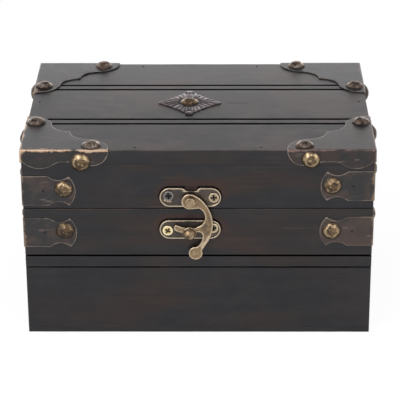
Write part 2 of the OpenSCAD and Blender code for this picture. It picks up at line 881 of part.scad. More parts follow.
// The catch: a stem below the finger's path that carries a domed knob in front of the finger
module catch_stud() {
    dome_radius = catch_knob_radius - catch_edge;
    cap_radius = (pow(dome_radius, 2) + pow(catch_dome_height, 2)) / (2 * catch_dome_height);
    color(latch_colour)
        on_latch() {
            translate([catch_stem_x, -catch_stem_drop])
                cylinder(d = catch_stem_diameter, h = catch_knob_back + catch_back_thickness / 2);
            translate([0, 0, catch_knob_back]) linear_extrude(catch_back_thickness) {
                translate([catch_stem_x, -catch_stem_drop]) circle(r = catch_stem_diameter / 2 + sheet_gap);
                translate([catch_knob_x, -catch_knob_drop]) circle(r = catch_knob_radius);
            }
            translate([catch_knob_x, -catch_knob_drop, catch_knob_back + catch_back_thickness])
                intersection() {
                    translate([0, 0, catch_dome_height - cap_radius]) sphere(r = cap_radius);
                    cylinder(r = dome_radius, h = catch_dome_height);
                }
        }
}

// ---- Hinges ----

// One knuckle of the barrel, from one place along the hinge to another
module knuckle(from, to, bore) {
    translate([from, 0, 0]) rotate([0, 90, 0])
        difference() {
            cylinder(r = barrel_radius, h = to - from);
            translate([0, 0, -cut]) cylinder(r = bore, h = to - from + 2 * cut);
        }
}

// The flat of a leaf below the seam: clear of the other leaf's knuckles, joined to its own
module leaf_flat(webs) {
    translate([-hinge_length / 2, -leaf_reach, -leaf_recess])
        cube([hinge_length, leaf_reach - barrel_space, leaf_thickness]);
    for (web = webs)
        translate([web[0], -barrel_space, -leaf_recess])
            cube([web[1] - web[0], barrel_space, leaf_thickness]);
}

module leaf_screw_holes() {
    for (side = [-1, 1])
        translate([side * hinge_screw_place, -leaf_screw_reach, -sheet_gap]) hinge_screw(hole_gap);
}

module base_leaf(side) {
    bore = pin_diameter / 2 + hole_gap / 2;
    outer = hinge_length / 2;
    inner = knuckle_length / 2 + sheet_gap;
    webs = [[-outer, -inner], [inner, outer]];
    color(steel_colour)
        at_hinge(side) {
            for (web = webs)
                knuckle(web[0], web[1], bore);
            difference() {
                leaf_flat(webs);
                leaf_screw_holes();
                rotate([0, 90, 0])
                    cylinder(r = (barrel_radius + bore) / 2, h = hinge_length + cut, center = true);
            }
        }
}

module lid_leaf(side) {
    bore = pin_diameter / 2 + hole_gap;
    half = knuckle_length / 2;
    color(steel_colour)
        at_hinge(side) {
            knuckle(-half, half, bore);
            mirror([0, 0, 1]) difference() {
                leaf_flat([[-half, half]]);
                leaf_screw_holes();
                rotate([0, 90, 0])
                    cylinder(r = (barrel_radius + bore) / 2, h = hinge_length + cut, center = true);
            }
        }
}

module hinge_pin(side) {
    color(steel_colour)
        at_hinge(side) rotate([0, 90, 0]) cylinder(d = pin_diameter, h = hinge_length, center = true);
}

module base_hinge_screws() {
    color(steel_colour) hinge_screw_places() translate([0, 0, -sheet_gap]) hinge_screw(0);
}

module lid_hinge_screws() {
    color(steel_colour) over_seam() hinge_screw_places() translate([0, 0, -sheet_gap]) hinge_screw(0);
}

// ---- Brads ----

module top_board_brads() {
    color(steel_colour) top_brad_places() brad(top_thickness);
}

module bottom_board_brads() {
    color(steel_colour) bottom_brad_places() brad(bottom_thickness);
}

base_bottom_board();
base_front_board();
base_back_board();
base_side_board(-1);  // base_left_board
base_side_board(1);  // base_right_board
lid_top_board();
lid_front_rail();
lid_back_rail();
lid_side_rail(-1);  // lid_left_rail
lid_side_rail(1);  // lid_right_rail
protector(corners[0]);  // protector_front_left
protector(corners[1]);  // protector_front_right
protector(corners[2]);  // protector_rear_left
protector(corners[3]);  // protector_rear_right
lid_strap(corners[0]);  // lid_strap_front_left
lid_strap(corners[1]);  // lid_strap_front_right
lid_strap(corners[2]);  // lid_strap_rear_left
lid_strap(corners[3]);  // lid_strap_rear_right
base_strap(corners[0]);  // base_strap_front_left
base_strap(corners[1]);  // base_strap_front_right
base_strap(corners[2]);  // base_strap_rear_left
base_strap(corners[3]);  // base_strap_rear_right
protector_nails();
lid_strap_nails();
base_strap_nails();
diamond_ornament();
diamond_nail();
latch_plate();
latch_plate_screws();
latch_rivet();
latch_hook();
catch_plate();
catch_plate_screws();
catch_stud();
base_leaf(-1);  // hinge_left_base_leaf
base_leaf(1);  // hinge_right_base_leaf
lid_leaf(-1);  // hinge_left_lid_leaf
lid_leaf(1);  // hinge_right_lid_leaf
hinge_pin(-1);  // hinge_left_pin
hinge_pin(1);  // hinge_right_pin
base_hinge_screws();
lid_hinge_screws();
top_board_brads();
bottom_board_brads();
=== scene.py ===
import math
import random

import bmesh
import bpy
from mathutils import Matrix, Vector, kdtree, noise


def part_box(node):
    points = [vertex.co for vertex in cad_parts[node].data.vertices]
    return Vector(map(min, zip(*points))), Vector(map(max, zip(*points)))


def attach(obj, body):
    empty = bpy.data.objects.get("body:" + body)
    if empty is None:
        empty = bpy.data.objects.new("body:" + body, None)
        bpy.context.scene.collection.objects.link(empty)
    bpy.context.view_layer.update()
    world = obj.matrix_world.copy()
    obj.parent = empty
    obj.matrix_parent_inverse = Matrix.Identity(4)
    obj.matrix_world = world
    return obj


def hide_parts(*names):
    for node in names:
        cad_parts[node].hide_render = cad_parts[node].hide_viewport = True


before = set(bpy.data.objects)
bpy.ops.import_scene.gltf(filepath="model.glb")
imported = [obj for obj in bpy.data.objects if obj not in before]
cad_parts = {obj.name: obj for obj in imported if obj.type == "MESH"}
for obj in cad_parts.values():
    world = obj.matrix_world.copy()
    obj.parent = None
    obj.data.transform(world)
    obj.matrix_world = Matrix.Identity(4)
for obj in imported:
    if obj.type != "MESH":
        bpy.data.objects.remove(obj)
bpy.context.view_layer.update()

mm = 0.001
boxWidth = 160 * mm
boxDepth = 110 * mm
boxHeight = 93 * mm
seamHeight = 64 * mm
frontFace = -boxDepth / 2
pivotPlace = Vector((-3.5 * mm, frontFace, seamHeight + 4.5 * mm))
topMiddle = Vector((-4.5 * mm, 2.05 * mm, boxHeight))
corners = [(-1, -1, "front_left"), (1, -1, "front_right"), (-1, 1, "rear_left"), (1, 1, "rear_right")]
lowGroove = 34.2 * mm  # height of the walls' lower groove, which is partly choked with stain
random.seed(11)
noise.seed_set(11)


# shader maths: an expression on these adds its own nodes
class Wire:
    def __init__(self, tree, socket):
        self.tree = tree
        self.socket = socket

    def calc(self, operation, *others):
        return self.tree.add("Math", [self, *others], operation=operation)

    def __add__(self, other):
        return self.calc("ADD", other)

    def __sub__(self, other):
        return self.calc("SUBTRACT", other)

    def __mul__(self, other):
        return self.calc("MULTIPLY", other)

    def __rsub__(self, other):
        return self.tree.add("Math", [other, self], operation="SUBTRACT")

    __radd__ = __add__
    __rmul__ = __mul__

    def __abs__(self):
        return self.calc("ABSOLUTE")

    def lesser(self, other):
        return self.calc("MINIMUM", other)

    def greater(self, other):
        return self.calc("MAXIMUM", other)

    # 0 below the first value and 1 above the second, smooth between them
    def rise(self, low, high):
        return self.tree.add("MapRange", [self, low, high, 0.0, 1.0], interpolation_type="SMOOTHSTEP")

    def spread(self, low, high):
        return self.tree.add("MapRange", [self, 0.0, 1.0, low, high])


# the nodes of a material or of the world
class Tree:
    def __init__(self, tree):
        self.tree = tree

    def join(self, value, socket):
        if isinstance(value, Wire):
            self.tree.links.new(value.socket, socket)
        elif hasattr(socket.default_value, "__len__") and not hasattr(value, "__len__"):
            socket.default_value = [value] * len(socket.default_value)
        elif hasattr(value, "__len__") and len(value) < len(socket.default_value):
            socket.default_value = (*value, 1.0)
        else:
            socket.default_value = value

    def add(self, kind, inputs=(), output=0, **settings):
        node = self.tree.nodes.new(f"ShaderNode{kind}")
        for key, value in settings.items():
            setattr(node, key, value)
        pairs = inputs.items() if isinstance(inputs, dict) else enumerate(inputs)
        for key, value in pairs:
            self.join(value, node.inputs[key])
        return Wire(self, node.outputs[output])

    def split(self, vector):
        node = self.add("SeparateXYZ", [vector]).socket.node
        return [Wire(self, output) for output in node.outputs]

    def ray(self, kind):
        return self.add("LightPath", output=f"Is {kind} Ray")

    def end(self, kind, wire):
        self.tree.links.new(wire.socket, self.tree.nodes[kind].inputs[0])


class Finish(Tree):
    def __init__(self, name, **constants):
        self.material = bpy.data.materials.new(name)
        self.material.use_nodes = True
        super().__init__(self.material.node_tree)
        self.shader = self.tree.nodes["Principled BSDF"]
        for socket, value in constants.items():
            self.shader.inputs[socket.replace("_", " ")].default_value = value
        self.place = self.add("TexCoord", output="Object")

    # the object's own coordinates, stretched by a scale per metre and shifted
    def mapped(self, scale, shift=(0, 0, 0), turn=(0, 0, 0)):
        return self.add("Mapping", {"Vector": self.place, "Scale": scale, "Location": shift, "Rotation": turn})

    def cloud(self, vector, detail=3.0, rough=0.55, twist=0.0):
        return self.add("TexNoise", {"Vector": vector, "Scale": 1.0, "Detail": detail, "Roughness": rough,
                                     "Distortion": twist})

    def blend(self, factor, first, second, mode="MIX"):
        return self.add("Mix", {0: factor, 6: first, 7: second}, 2, data_type="RGBA", blend_type=mode)

    # the same number in all three colours
    def grey(self, value):
        return self.add("CombineColor", [value] * 3)

    def mark(self, name):
        return self.add("Attribute", output="Fac", attribute_name=name)

    def bump(self, height, depth, strength=1.0, under=None):
        inputs = {"Height": height, "Distance": depth, "Strength": strength}
        if under:
            inputs["Normal"] = under
        return self.add("Bump", inputs)

    def feed(self, **links):
        for socket, value in links.items():
            self.join(value, self.shader.inputs[socket.replace("_", " ")])
        return self.material


woodLook = {
    "black": (0.0098, 0.0098, 0.0120),
    "brown": (0.0240, 0.0135, 0.0095),
    "haze": (0.0560, 0.0400, 0.0350),
    "russet": (0.0350, 0.0130, 0.0070),
    "bare": (0.085, 0.055, 0.038),
    # the near-black of the painted shade in grooves, the crack and the gaps by the latch plates
    "paintedShade": (0.0012, 0.0011, 0.0011),
    "ior": 1.37,
    "polish": 0.34,
    "hazeOnTop": 0.75,
    "hazeOnSides": 0.12,
}
woodClouds = {
    # name: (scale per metre across the grain, along it, detail, roughness, distortion)
    "grain": (620.0, 12.0, 5.0, 0.62, 0.35),
    "pores": (2108.0, 48.0, 2.0, 0.60, 0.0),
    "rubbed": (70.0, 20.0, 4.0, 0.60, 0.0),
    "blotch": (30.0, 30.0, 3.0, 0.55, 0.0),
    "mottle": (150.0, 80.0, 4.0, 0.60, 0.0),
    "scratch": (1900.0, 24.0, 2.0, 0.55, 0.0),
}
# the rest is in millimetres
latchPlates = [
    # middle along X, middle in height, half width and half height
    (-3.5, 70.1, 14.05, 4.7),
    (-3.7, 53.9, 14.05, 4.7),
]
plateDip = (-3.1, 2.6, 72.4)  # middle, half width and floor of the dip in the upper plate's top edge
topLook = {
    "grooves": [-23.05, -17.45, 19.55, 25.15],  # their middles along Y
    "shadeEdge": (0.42, 0.87),  # where the painted shade begins to fade and where it ends
    "crack": (12.5, 24.0, 2.3),  # first and last X, and Y
    # how dark the painted shade along the crack is
    "crackShade": 0.75,
    "crackBrown": 0.8,
}


# Whether a board's side lies on the outside of the base or of the lid, and not against another board
def isOuter(axis, place):
    heights = [0.0, seamHeight, boxHeight]
    outside = ([-boxWidth / 2, boxWidth / 2], [-boxDepth / 2, boxDepth / 2], heights)[axis]
    return any(abs(place - side) < 0.05 * mm for side in outside)


# Painted shade in the top board's grooves and along its crack, and the brown beside the crack
def topShadeAndStain(x, y, grain, mottle):
    look = topLook
    first, last, place = look["crack"]
    middle, half = (first + last) / 2, (last - first) / 2
    line = 1 - abs(y + (grain - 0.5) * 1.4 - place).rise(0.05, 0.4)
    hollowShade = line * (1 - abs(x - middle).rise(half - 2, half)) * look["crackShade"]
    for groove in look["grooves"]:
        hollowShade = hollowShade.greater(1 - abs(y + (mottle - 0.5) * 0.3 - groove).rise(*look["shadeEdge"]))
    away = (abs(y - place) * 0.6).greater(abs(x - middle) * 0.4)
    return hollowShade, (1 - away.rise(1.0, 8.0)) * mottle.rise(0.3, 0.6) * look["crackBrown"]


# Painted shadow, black, in the gap around one of the latch's plates, strongest above it and weaker in its dip,
# and the reddish stain beyond it
def plateShadowAndStain(plate, x, z, grain, rubbed):
    across, height, halfWidth, halfHeight = plate
    side = (abs(x - across) - (halfWidth - halfHeight)).greater(0.0)
    rise = z - height
    beyond = (side * side + rise * rise).calc("SQRT") - halfHeight + (grain - 0.5) * 0.8
    middle, half, floor = plateDip
    bare = 1 - (abs(x - middle) - half).greater(floor - z).rise(0.0, 0.5)
    black = (1 - beyond.rise(0.1, 1.1)) * rise.rise(-4.0, 3.0).spread(0.3, 1.0) * (1 - bare * 0.75)
    stain = (1 - beyond.rise(0.8, 5.0)) * rubbed.rise(0.35, 0.60).spread(0.30, 0.75) * rise.rise(-6.0, 4.0)
    return black, stain


# Near-black stain on wood, with grain along one axis, brown where it is rubbed through, and painted shade in
# its grooves and gaps.
# low and high are the corners of the board, in metres, so that the wear can keep to its edges.
def woodFinish(name, low, high, along, seed, brownness, edgeWear):
    look = woodLook
    wood = Finish(name, IOR=look["ior"])
    shift = (seed * 3.1, seed * 1.7, seed * 2.3)
    clouds = []
    for across, length, *settings in woodClouds.values():
        scale = [across] * 3
        scale[along] = length
        clouds.append(wood.cloud(wood.mapped(scale, shift), *settings))
    grain, pores, rubbed, blotch, mottle, scratches = clouds
    places = x, y, z = [part * 1000 for part in wood.split(wood.place)]
    # distance to the nearest outer edge: the middle one of the distances to the outer sides
    away = []
    for axis in range(3):
        sides = [abs(places[axis] - side / mm) for side in (low[axis], high[axis]) if isOuter(axis, side)]
        if sides:
            away.append(sides[0].lesser(sides[-1]))
    edge = away[0].greater(away[1])
    surface = away[0].lesser(away[1])
    if len(away) == 3:
        edge = surface.greater(edge.lesser(away[2]))
        surface = surface.lesser(away[2])
    ragged = edge + (rubbed - 0.5) * 2.2 + (grain - 0.5) * 1.2
    worn = (1 - ragged.rise(0.0, 0.7)) * edgeWear
    patch = rubbed.rise(0.44, 0.68) * (0.2 + grain) * brownness * (1.15 - abs(x) * (1 / 90))
    scratch = scratches.rise(0.66, 0.76) * rubbed.rise(0.35, 0.65)
    haze = (blotch * 0.5 + mottle * 0.5).rise(0.42, 0.60)
    isTop = low[2] > seamHeight + 10 * mm  # only the top board stays clear of the seam
    if isTop:
        topFace = z.rise(boxHeight / mm - 0.35, boxHeight / mm - 0.1)
        haze = haze * topFace.spread(look["hazeOnSides"], look["hazeOnTop"])
    else:
        haze = haze * look["hazeOnSides"]
    tone = wood.blend(haze, look["black"], look["haze"])
    tone = wood.blend(patch.lesser(1.0), tone, look["brown"])
    tone = wood.blend(scratch * 0.5, tone, look["bare"])
    tone = wood.blend(worn * rubbed.rise(0.40, 0.60) * 0.7, tone, look["bare"])
    tone = wood.blend(1.0, tone, wood.grey((grain * 0.7 + pores * 0.35).spread(0.55, 1.5)), "MULTIPLY")
    # painted shade: what lies below the surface, in a saw groove, is black
    paintedShade = surface.rise(0.04, 0.16) * (1 - surface.rise(1.4, 1.6))
    if isTop:
        hollowShade, brown = topShadeAndStain(x, y, grain, mottle)
        paintedShade = paintedShade.greater(hollowShade * topFace)
        tone = wood.blend(brown * topFace, tone, look["brown"])
    if low[1] < frontFace + 1 * mm and low[2] > 0:
        for plate in latchPlates:
            # painted shadow in the gaps around the latch plates, and their reddish stain
            black, stain = plateShadowAndStain(plate, x, z, grain, rubbed)
            paintedShade = paintedShade.greater(black)
            tone = wood.blend(stain, tone, look["russet"])
    if along == 0 and low[2] > 0 and high[2] < seamHeight + 1 * mm:
        choked = (1 - abs(z - lowGroove / mm).rise(0.8, 1.0)) * (1 - mottle.rise(0.40, 0.56))
        paintedShade = paintedShade * (1 - choked * 0.75)
    # painted shade: grooves, the crack and the gaps around the latch plates go near black and reflect little
    tone = wood.blend(paintedShade, tone, look["paintedShade"])
    gloss = look["polish"] + (blotch - 0.5) * 0.12 + (mottle - 0.5) * 0.18 + (grain - 0.5) * 0.1 \
        + worn * 0.1 + paintedShade * 0.4
    under = wood.bump(grain * 0.7 + pores * 0.5, 0.0001, 0.4)
    under = wood.bump(blotch, 0.0006, 0.2, under)
    under = wood.bump(mottle, 0.0003, 0.12, under)
    return wood.feed(Base_Color=tone, Metallic=paintedShade * 0.9, Roughness=gloss, Normal=under)


sheetClouds = {
    # scales per metre
    "mottle": (420.0, 420.0, 420.0),
    "patches": (85.0, 85.0, 85.0),
    "scratch": (90.0, 900.0, 700.0),
    "scratchTurn": (0.3, 0.2, 0.5),
}


# Thin sheet metal with a dark finish, brighter along its cut edges and warmer along its worn folds
def sheetFinish(name, look, seed):
    metal = Finish(name, IOR=look["ior"])
    shift = (seed * 2.3, seed * 1.1, seed * 3.7)
    mottle = metal.cloud(metal.mapped(sheetClouds["mottle"], shift), detail=5.0, rough=0.65)
    patches = metal.cloud(metal.mapped(sheetClouds["patches"], shift), detail=4.0, rough=0.6)
    scratch = metal.cloud(metal.mapped(sheetClouds["scratch"], shift, sheetClouds["scratchTurn"]), detail=2.0)
    lip = (metal.mark("edge") + (mottle - 0.5) * 0.35).rise(0.78, 0.93)
    lip = lip * patches.rise(0.42, 0.56).spread(0.25, 1.0)
    crease = (metal.mark("fold") + (mottle - 0.5) * 1.5 + (patches - 0.5) * 2.4).rise(0.50, 0.95)
    crease = crease * look["foldWear"]
    tone = metal.blend((patches + look["rubbed"]).rise(0.42, 0.62), look["field"], look["rub"])
    tone = metal.blend(mottle.rise(0.52, 0.70) * 0.5, tone, look["speck"])
    tone = metal.blend(scratch.rise(0.66, 0.76) * 0.25, tone, look["bright"])
    tone = metal.blend(lip * look["lipWear"], tone, look["bright"])
    tone = metal.blend(crease, tone, look["gold"])
    shine = (lip * 0.5 + crease * 0.75).lesser(1.0)
    rough = look["polish"] + (mottle - 0.5) * 0.25
    under = metal.bump(mottle, 0.0001, 0.35)
    under = metal.bump(patches, 0.0005, 0.3, under)
    # only the flat top still has its wax
    height = metal.split(metal.place)[2] * 1000 - boxHeight / mm
    waxed = height.rise(0.35, 0.5) * (0.6 + mottle * 0.8) * look["wax"]
    return metal.feed(Base_Color=tone, Metallic=shine, Roughness=rough, Coat_Weight=waxed, Coat_Roughness=0.3,
                      Normal=under)


# Painted shade over a screw's crossed slot, and the brighter ring around it. The cross is given by its place
# along X and up from the hook's pivot, its turn and its half width, in millimetres.
def crossMarks(metal, across, up, turn, half):
    x, y, z = metal.split(metal.place)
    along = x * 1000 - (pivotPlace.x / mm + across)
    aloft = z * 1000 - (pivotPlace.z / mm + up)
    first = abs(along * math.cos(turn) + aloft * math.sin(turn))
    second = abs(aloft * math.cos(turn) - along * math.sin(turn))
    away = (along * along + aloft * aloft).calc("SQRT")
    hollowShade = (1 - first.lesser(second).rise(half - 0.12, half + 0.08)) * (1 - away.rise(1.35, 1.6))
    return hollowShade, away.rise(1.55, 2.0)


# Antique brass or bronze: dark in the low places, bright on the high ones, which the mesh marks; on the nails,
# the latch and the diamond these marks also hold painted highlights and painted shade
def bronzeFinish(name, look, seed):
    metal = Finish(name)
    scale = look["scale"]
    shift = (seed * 1.3, seed * 2.9, seed * 0.7)
    mottle = metal.cloud(metal.mapped((scale,) * 3, shift), detail=4.0, rough=0.65)
    patches = metal.cloud(metal.mapped((scale * 0.35,) * 3, shift), detail=3.0)
    height = metal.mark("edge") + (mottle - 0.5) * look["mottle"]
    hollowShade = None
    if "cross" in look:
        hollowShade, ring = crossMarks(metal, *look["cross"])
        height = height + ring * 0.4
    tone = metal.blend(height.rise(0.05, 0.45), look["dark"], look["middle"])
    tone = metal.blend(patches.rise(0.48, 0.66) * look["patchy"], tone, look["tarnish"])
    tone = metal.blend(height.rise(0.50, 0.95), tone, look["bright"])
    # painted shade over the screw's slot
    if hollowShade:
        tone = metal.blend(hollowShade, tone, look["dark"])
    rough = look["polish"] + (1 - height.rise(0.2, 0.8)) * 0.16 + (mottle - 0.5) * 0.2
    under = metal.bump(mottle, 0.00012, 0.5)
    return metal.feed(Base_Color=tone, Metallic=height.rise(0.0, 0.6).spread(0.7, 1.0), Roughness=rough,
                      Normal=under)


# A node's mesh with its flat faces whole again
def cadCopy(node):
    bm = bmesh.new()
    bm.from_mesh(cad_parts[node].data)
    bmesh.ops.remove_doubles(bm, verts=bm.verts, dist=1e-6)
    bmesh.ops.dissolve_limit(bm, angle_limit=math.radians(0.6), verts=bm.verts, edges=bm.edges)
    return bm


def sharpEdges(bm, degrees, test):
    return [edge for edge in bm.edges if len(edge.link_faces) == 2
            and edge.calc_face_angle(0.0) > math.radians(degrees) and test(edge)]


def roundEdges(bm, edges, width, segments=2):
    if edges:
        bmesh.ops.bevel(bm, geom=edges, offset=width, offset_type="OFFSET", affect="EDGES",
                        segments=segments, profile=0.5, material=-1, clamp_overlap=False)


def cutAcross(bm, axis, low, high, step):
    normal = [0.0, 0.0, 0.0]
    normal[axis] = 1.0
    for share in range(1, round((high - low) / step)):
        at = [0.0, 0.0, 0.0]
        at[axis] = low + share * step
        bmesh.ops.bisect_plane(bm, geom=bm.verts[:] + bm.edges[:] + bm.faces[:], dist=1e-7,
                               plane_co=at, plane_no=normal)


def pointsAlong(edges, step=0.15 * mm):
    points = []
    for edge in edges:
        first, last = (vert.co.copy() for vert in edge.verts)
        count = max(1, round(edge.calc_length() / step))
        points += [first.lerp(last, share / count) for share in range(count + 1)]
    return points


# Marks how near each point is to some others: 1 on them, falling to 0 at the reach
def markNear(bm, name, points, reach):
    layer = bm.verts.layers.float.get(name) or bm.verts.layers.float.new(name)
    tree = kdtree.KDTree(len(points))
    for index, point in enumerate(points):
        tree.insert(point, index)
    tree.balance()
    for vert in bm.verts:
        vert[layer] = max(0.0, 1 - tree.find(vert.co)[2] / reach) if points else 0.0
    return layer


def addObject(name, data):
    thing = bpy.data.objects.new(name, data)
    bpy.context.scene.collection.objects.link(thing)
    return thing


def finishPiece(bm, name, material, body, nodes, angle=38):
    mesh = bpy.data.meshes.new(name)
    bm.to_mesh(mesh)
    bm.free()
    mesh.polygons.foreach_set("use_smooth", [True] * len(mesh.polygons))
    mesh.set_sharp_from_angle(angle=math.radians(angle))
    piece = addObject(name, mesh)
    for one in material if isinstance(material, list) else [material]:
        mesh.materials.append(one)
    weight = piece.modifiers.new("weight", "WEIGHTED_NORMAL")
    weight.keep_sharp = True
    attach(piece, body)
    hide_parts(*nodes)


def smooth(value, low, high):
    share = min(max((value - low) / (high - low), 0.0), 1.0)
    return share * share * (3 - 2 * share)


# Turns a shape drawn about +Z so that it points out of the box, and sets it in its place
def setOut(where, outward, turn=0.0):
    return Matrix.Translation(where) @ Vector(outward).to_track_quat("Z", "Y").to_matrix().to_4x4() \
        @ Matrix.Rotation(turn, 4, "Z")


boardLook = {
    "arris": 0.22 * mm,  # rounding of the outer edges
    "grooveArris": 0.12 * mm,
    "slice": 2.5 * mm,
    "seamGap": 0.35 * mm,
    "waver": 0.08 * mm,
    "swayScale": 90,  # per metre
    "chipScale": 700,
    "longCut": 1.6 * mm,  # a groove's shorter edges stay sharp
    "core": 0.3 * mm,  # points deeper than this under a board's sides stay where they are
    "seamReach": 0.6 * mm,
    "choke": 0.45,  # how far the stain narrows the lower groove
    "chokeReach": 0.7 * mm,
    "chokeScale": 60,
}
boards = {
    # node: (body, grain axis, seed, brownness, wear along the edges)
    "base_bottom_board": ("base", 0, 1, 0.4, 0.5),
    "base_front_board": ("base", 0, 2, 0.9, 0.8),
    "base_back_board": ("base", 0, 3, 0.6, 0.8),
    "base_left_board": ("base", 1, 4, 0.6, 0.8),
    "base_right_board": ("base", 1, 5, 0.6, 0.8),
    "lid_top_board": ("lid", 0, 6, 0.35, 0.6),
    "lid_front_rail": ("lid", 0, 7, 1.3, 1.0),
    "lid_back_rail": ("lid", 0, 8, 0.6, 0.8),
    "lid_left_rail": ("lid", 1, 9, 0.6, 0.8),
    "lid_right_rail": ("lid", 1, 10, 0.6, 0.8),
}


# On how many outer sides a point lies
def outerSides(point):
    return sum(isOuter(axis, point[axis]) for axis in range(3))


def makeBoard(node, body, along, seed, brownness, edgeWear):
    look = boardLook
    bm = cadCopy(node)
    low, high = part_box(node)
    cutAcross(bm, along, low[along], high[along], look["slice"])
    outer = sharpEdges(bm, 40, lambda edge: all(outerSides(v.co) >= 2 for v in edge.verts))
    roundEdges(bm, outer, look["arris"], 3)
    cuts = sharpEdges(bm, 40, lambda edge: edge.calc_length() > look["longCut"]
                      and all(outerSides(v.co) == 1 for v in edge.verts))
    roundEdges(bm, cuts, look["grooveArris"], 2)
    for vert in bm.verts:
        sway = noise.noise_vector(vert.co * look["swayScale"] + Vector((seed, seed, seed)))
        chip = noise.noise_vector(vert.co * look["chipScale"] + Vector((seed, 0, seed)))
        depth = min(min(vert.co[axis] - low[axis], high[axis] - vert.co[axis]) for axis in range(3))
        if outerSides(vert.co) or depth <= look["core"]:
            vert.co += (sway * 0.6 + chip * 0.4) * look["waver"]
        offset = vert.co.z - lowGroove
        if body == "base" and abs(offset) < look["chokeReach"]:
            vert.co.z -= offset * look["choke"] * (0.6 + 0.8 * noise.noise(vert.co * look["chokeScale"]))
        if body == "lid" and vert.co.z < seamHeight + look["seamReach"]:
            vert.co.z += look["seamGap"]
        for axis in range(3):
            vert.co[axis] = min(max(vert.co[axis], low[axis]), high[axis])
    material = woodFinish(f"blackenedWood_{node}", low, high, along, seed, brownness, edgeWear)
    finishPiece(bm, f"{node}_wood", material, body, [node])


for node, settings in boards.items():
    makeBoard(node, *settings)
print("wood: boards rounded and stained")


nailRules = {
    # set: (distance from the corner, height) of the front left corner's nails, then of the others
    "protector": ((27.0 * mm, boxHeight - 5.3 * mm), (28.9 * mm, boxHeight - 4.1 * mm)),
    "lid_strap": ((18.9 * mm, seamHeight + 10.3 * mm), (18.9 * mm, seamHeight + 11.9 * mm)),
    "base_strap": ((18.9 * mm, seamHeight - 10.7 * mm), (18.9 * mm, seamHeight - 10.8 * mm)),
}
topNail = (31.7 * mm, 4.2 * mm)  # distance from the corner, and in from the edge


def nailPlace(corner, swapped, along, inward, height, upward):
    sideX, sideY = corner[:2]
    x, y = (inward, along) if swapped else (along, inward)
    where = Vector((sideX * (boxWidth / 2 - x), sideY * (boxDepth / 2 - y), height))
    sideways = (sideX, 0, 0) if swapped else (0, sideY, 0)
    return where, Vector((0, 0, 1) if upward else sideways)


nailPlaces = {}
for group, (leftRule, rule) in nailRules.items():
    nailPlaces[group] = []
    for corner in corners:
        for swapped in (False, True):
            if group == "protector":
                nailPlaces[group].append(nailPlace(corner, swapped, *topNail, boxHeight, True))
            along, height = leftRule if corner[2] == "front_left" else rule
            nailPlaces[group].append(nailPlace(corner, swapped, along, 0, height, False))


protectorLook = {
    "thickness": 0.6 * mm,
    "arris": 0.12 * mm,
    "foldRound": 0.45 * mm,
    "field": (0.0050, 0.0050, 0.0062),
    "rub": (0.0180, 0.0095, 0.0075),
    "speck": (0.022, 0.015, 0.012),
    "bright": (0.30, 0.245, 0.19),
    "rubbed": -0.05,  # how far the brown spreads
    "lipWear": 0.85,
    "polish": 0.36,
    "wax": 0.28,
    "ior": 1.48,
    "flare": 0.5 * mm,
    "flareReach": 9 * mm,
}
strapLook = {
    "thickness": 0.4 * mm,
    "arris": 0.1 * mm,
    "foldRound": 0.32 * mm,
    "field": (0.0175, 0.0165, 0.0175),
    "rub": (0.044, 0.029, 0.024),
    "speck": (0.046, 0.033, 0.028),
    "bright": (0.30, 0.24, 0.20),
    "gold": (0.30, 0.22, 0.15),
    "rubbed": -0.05,
    "foldWear": 0.5,
    "lipWear": 0.6,
    "polish": 0.38,
    "wax": 0.0,
    "ior": 1.40,
}
sheetLook = {
    "leastFace": 20 * mm * mm,  # a smaller face belongs to a hole or an edge
    "holeRadius": 0.8 * mm,
    "holeDepth": 2 * mm,
    "leastFold": 2 * mm,
    "leastCut": 0.1 * mm,
    "tolerance": 0.03 * mm,
    "grid": 1.3 * mm,
    "flareHeight": 14 * mm,
}
wearReach = 2.0 * mm


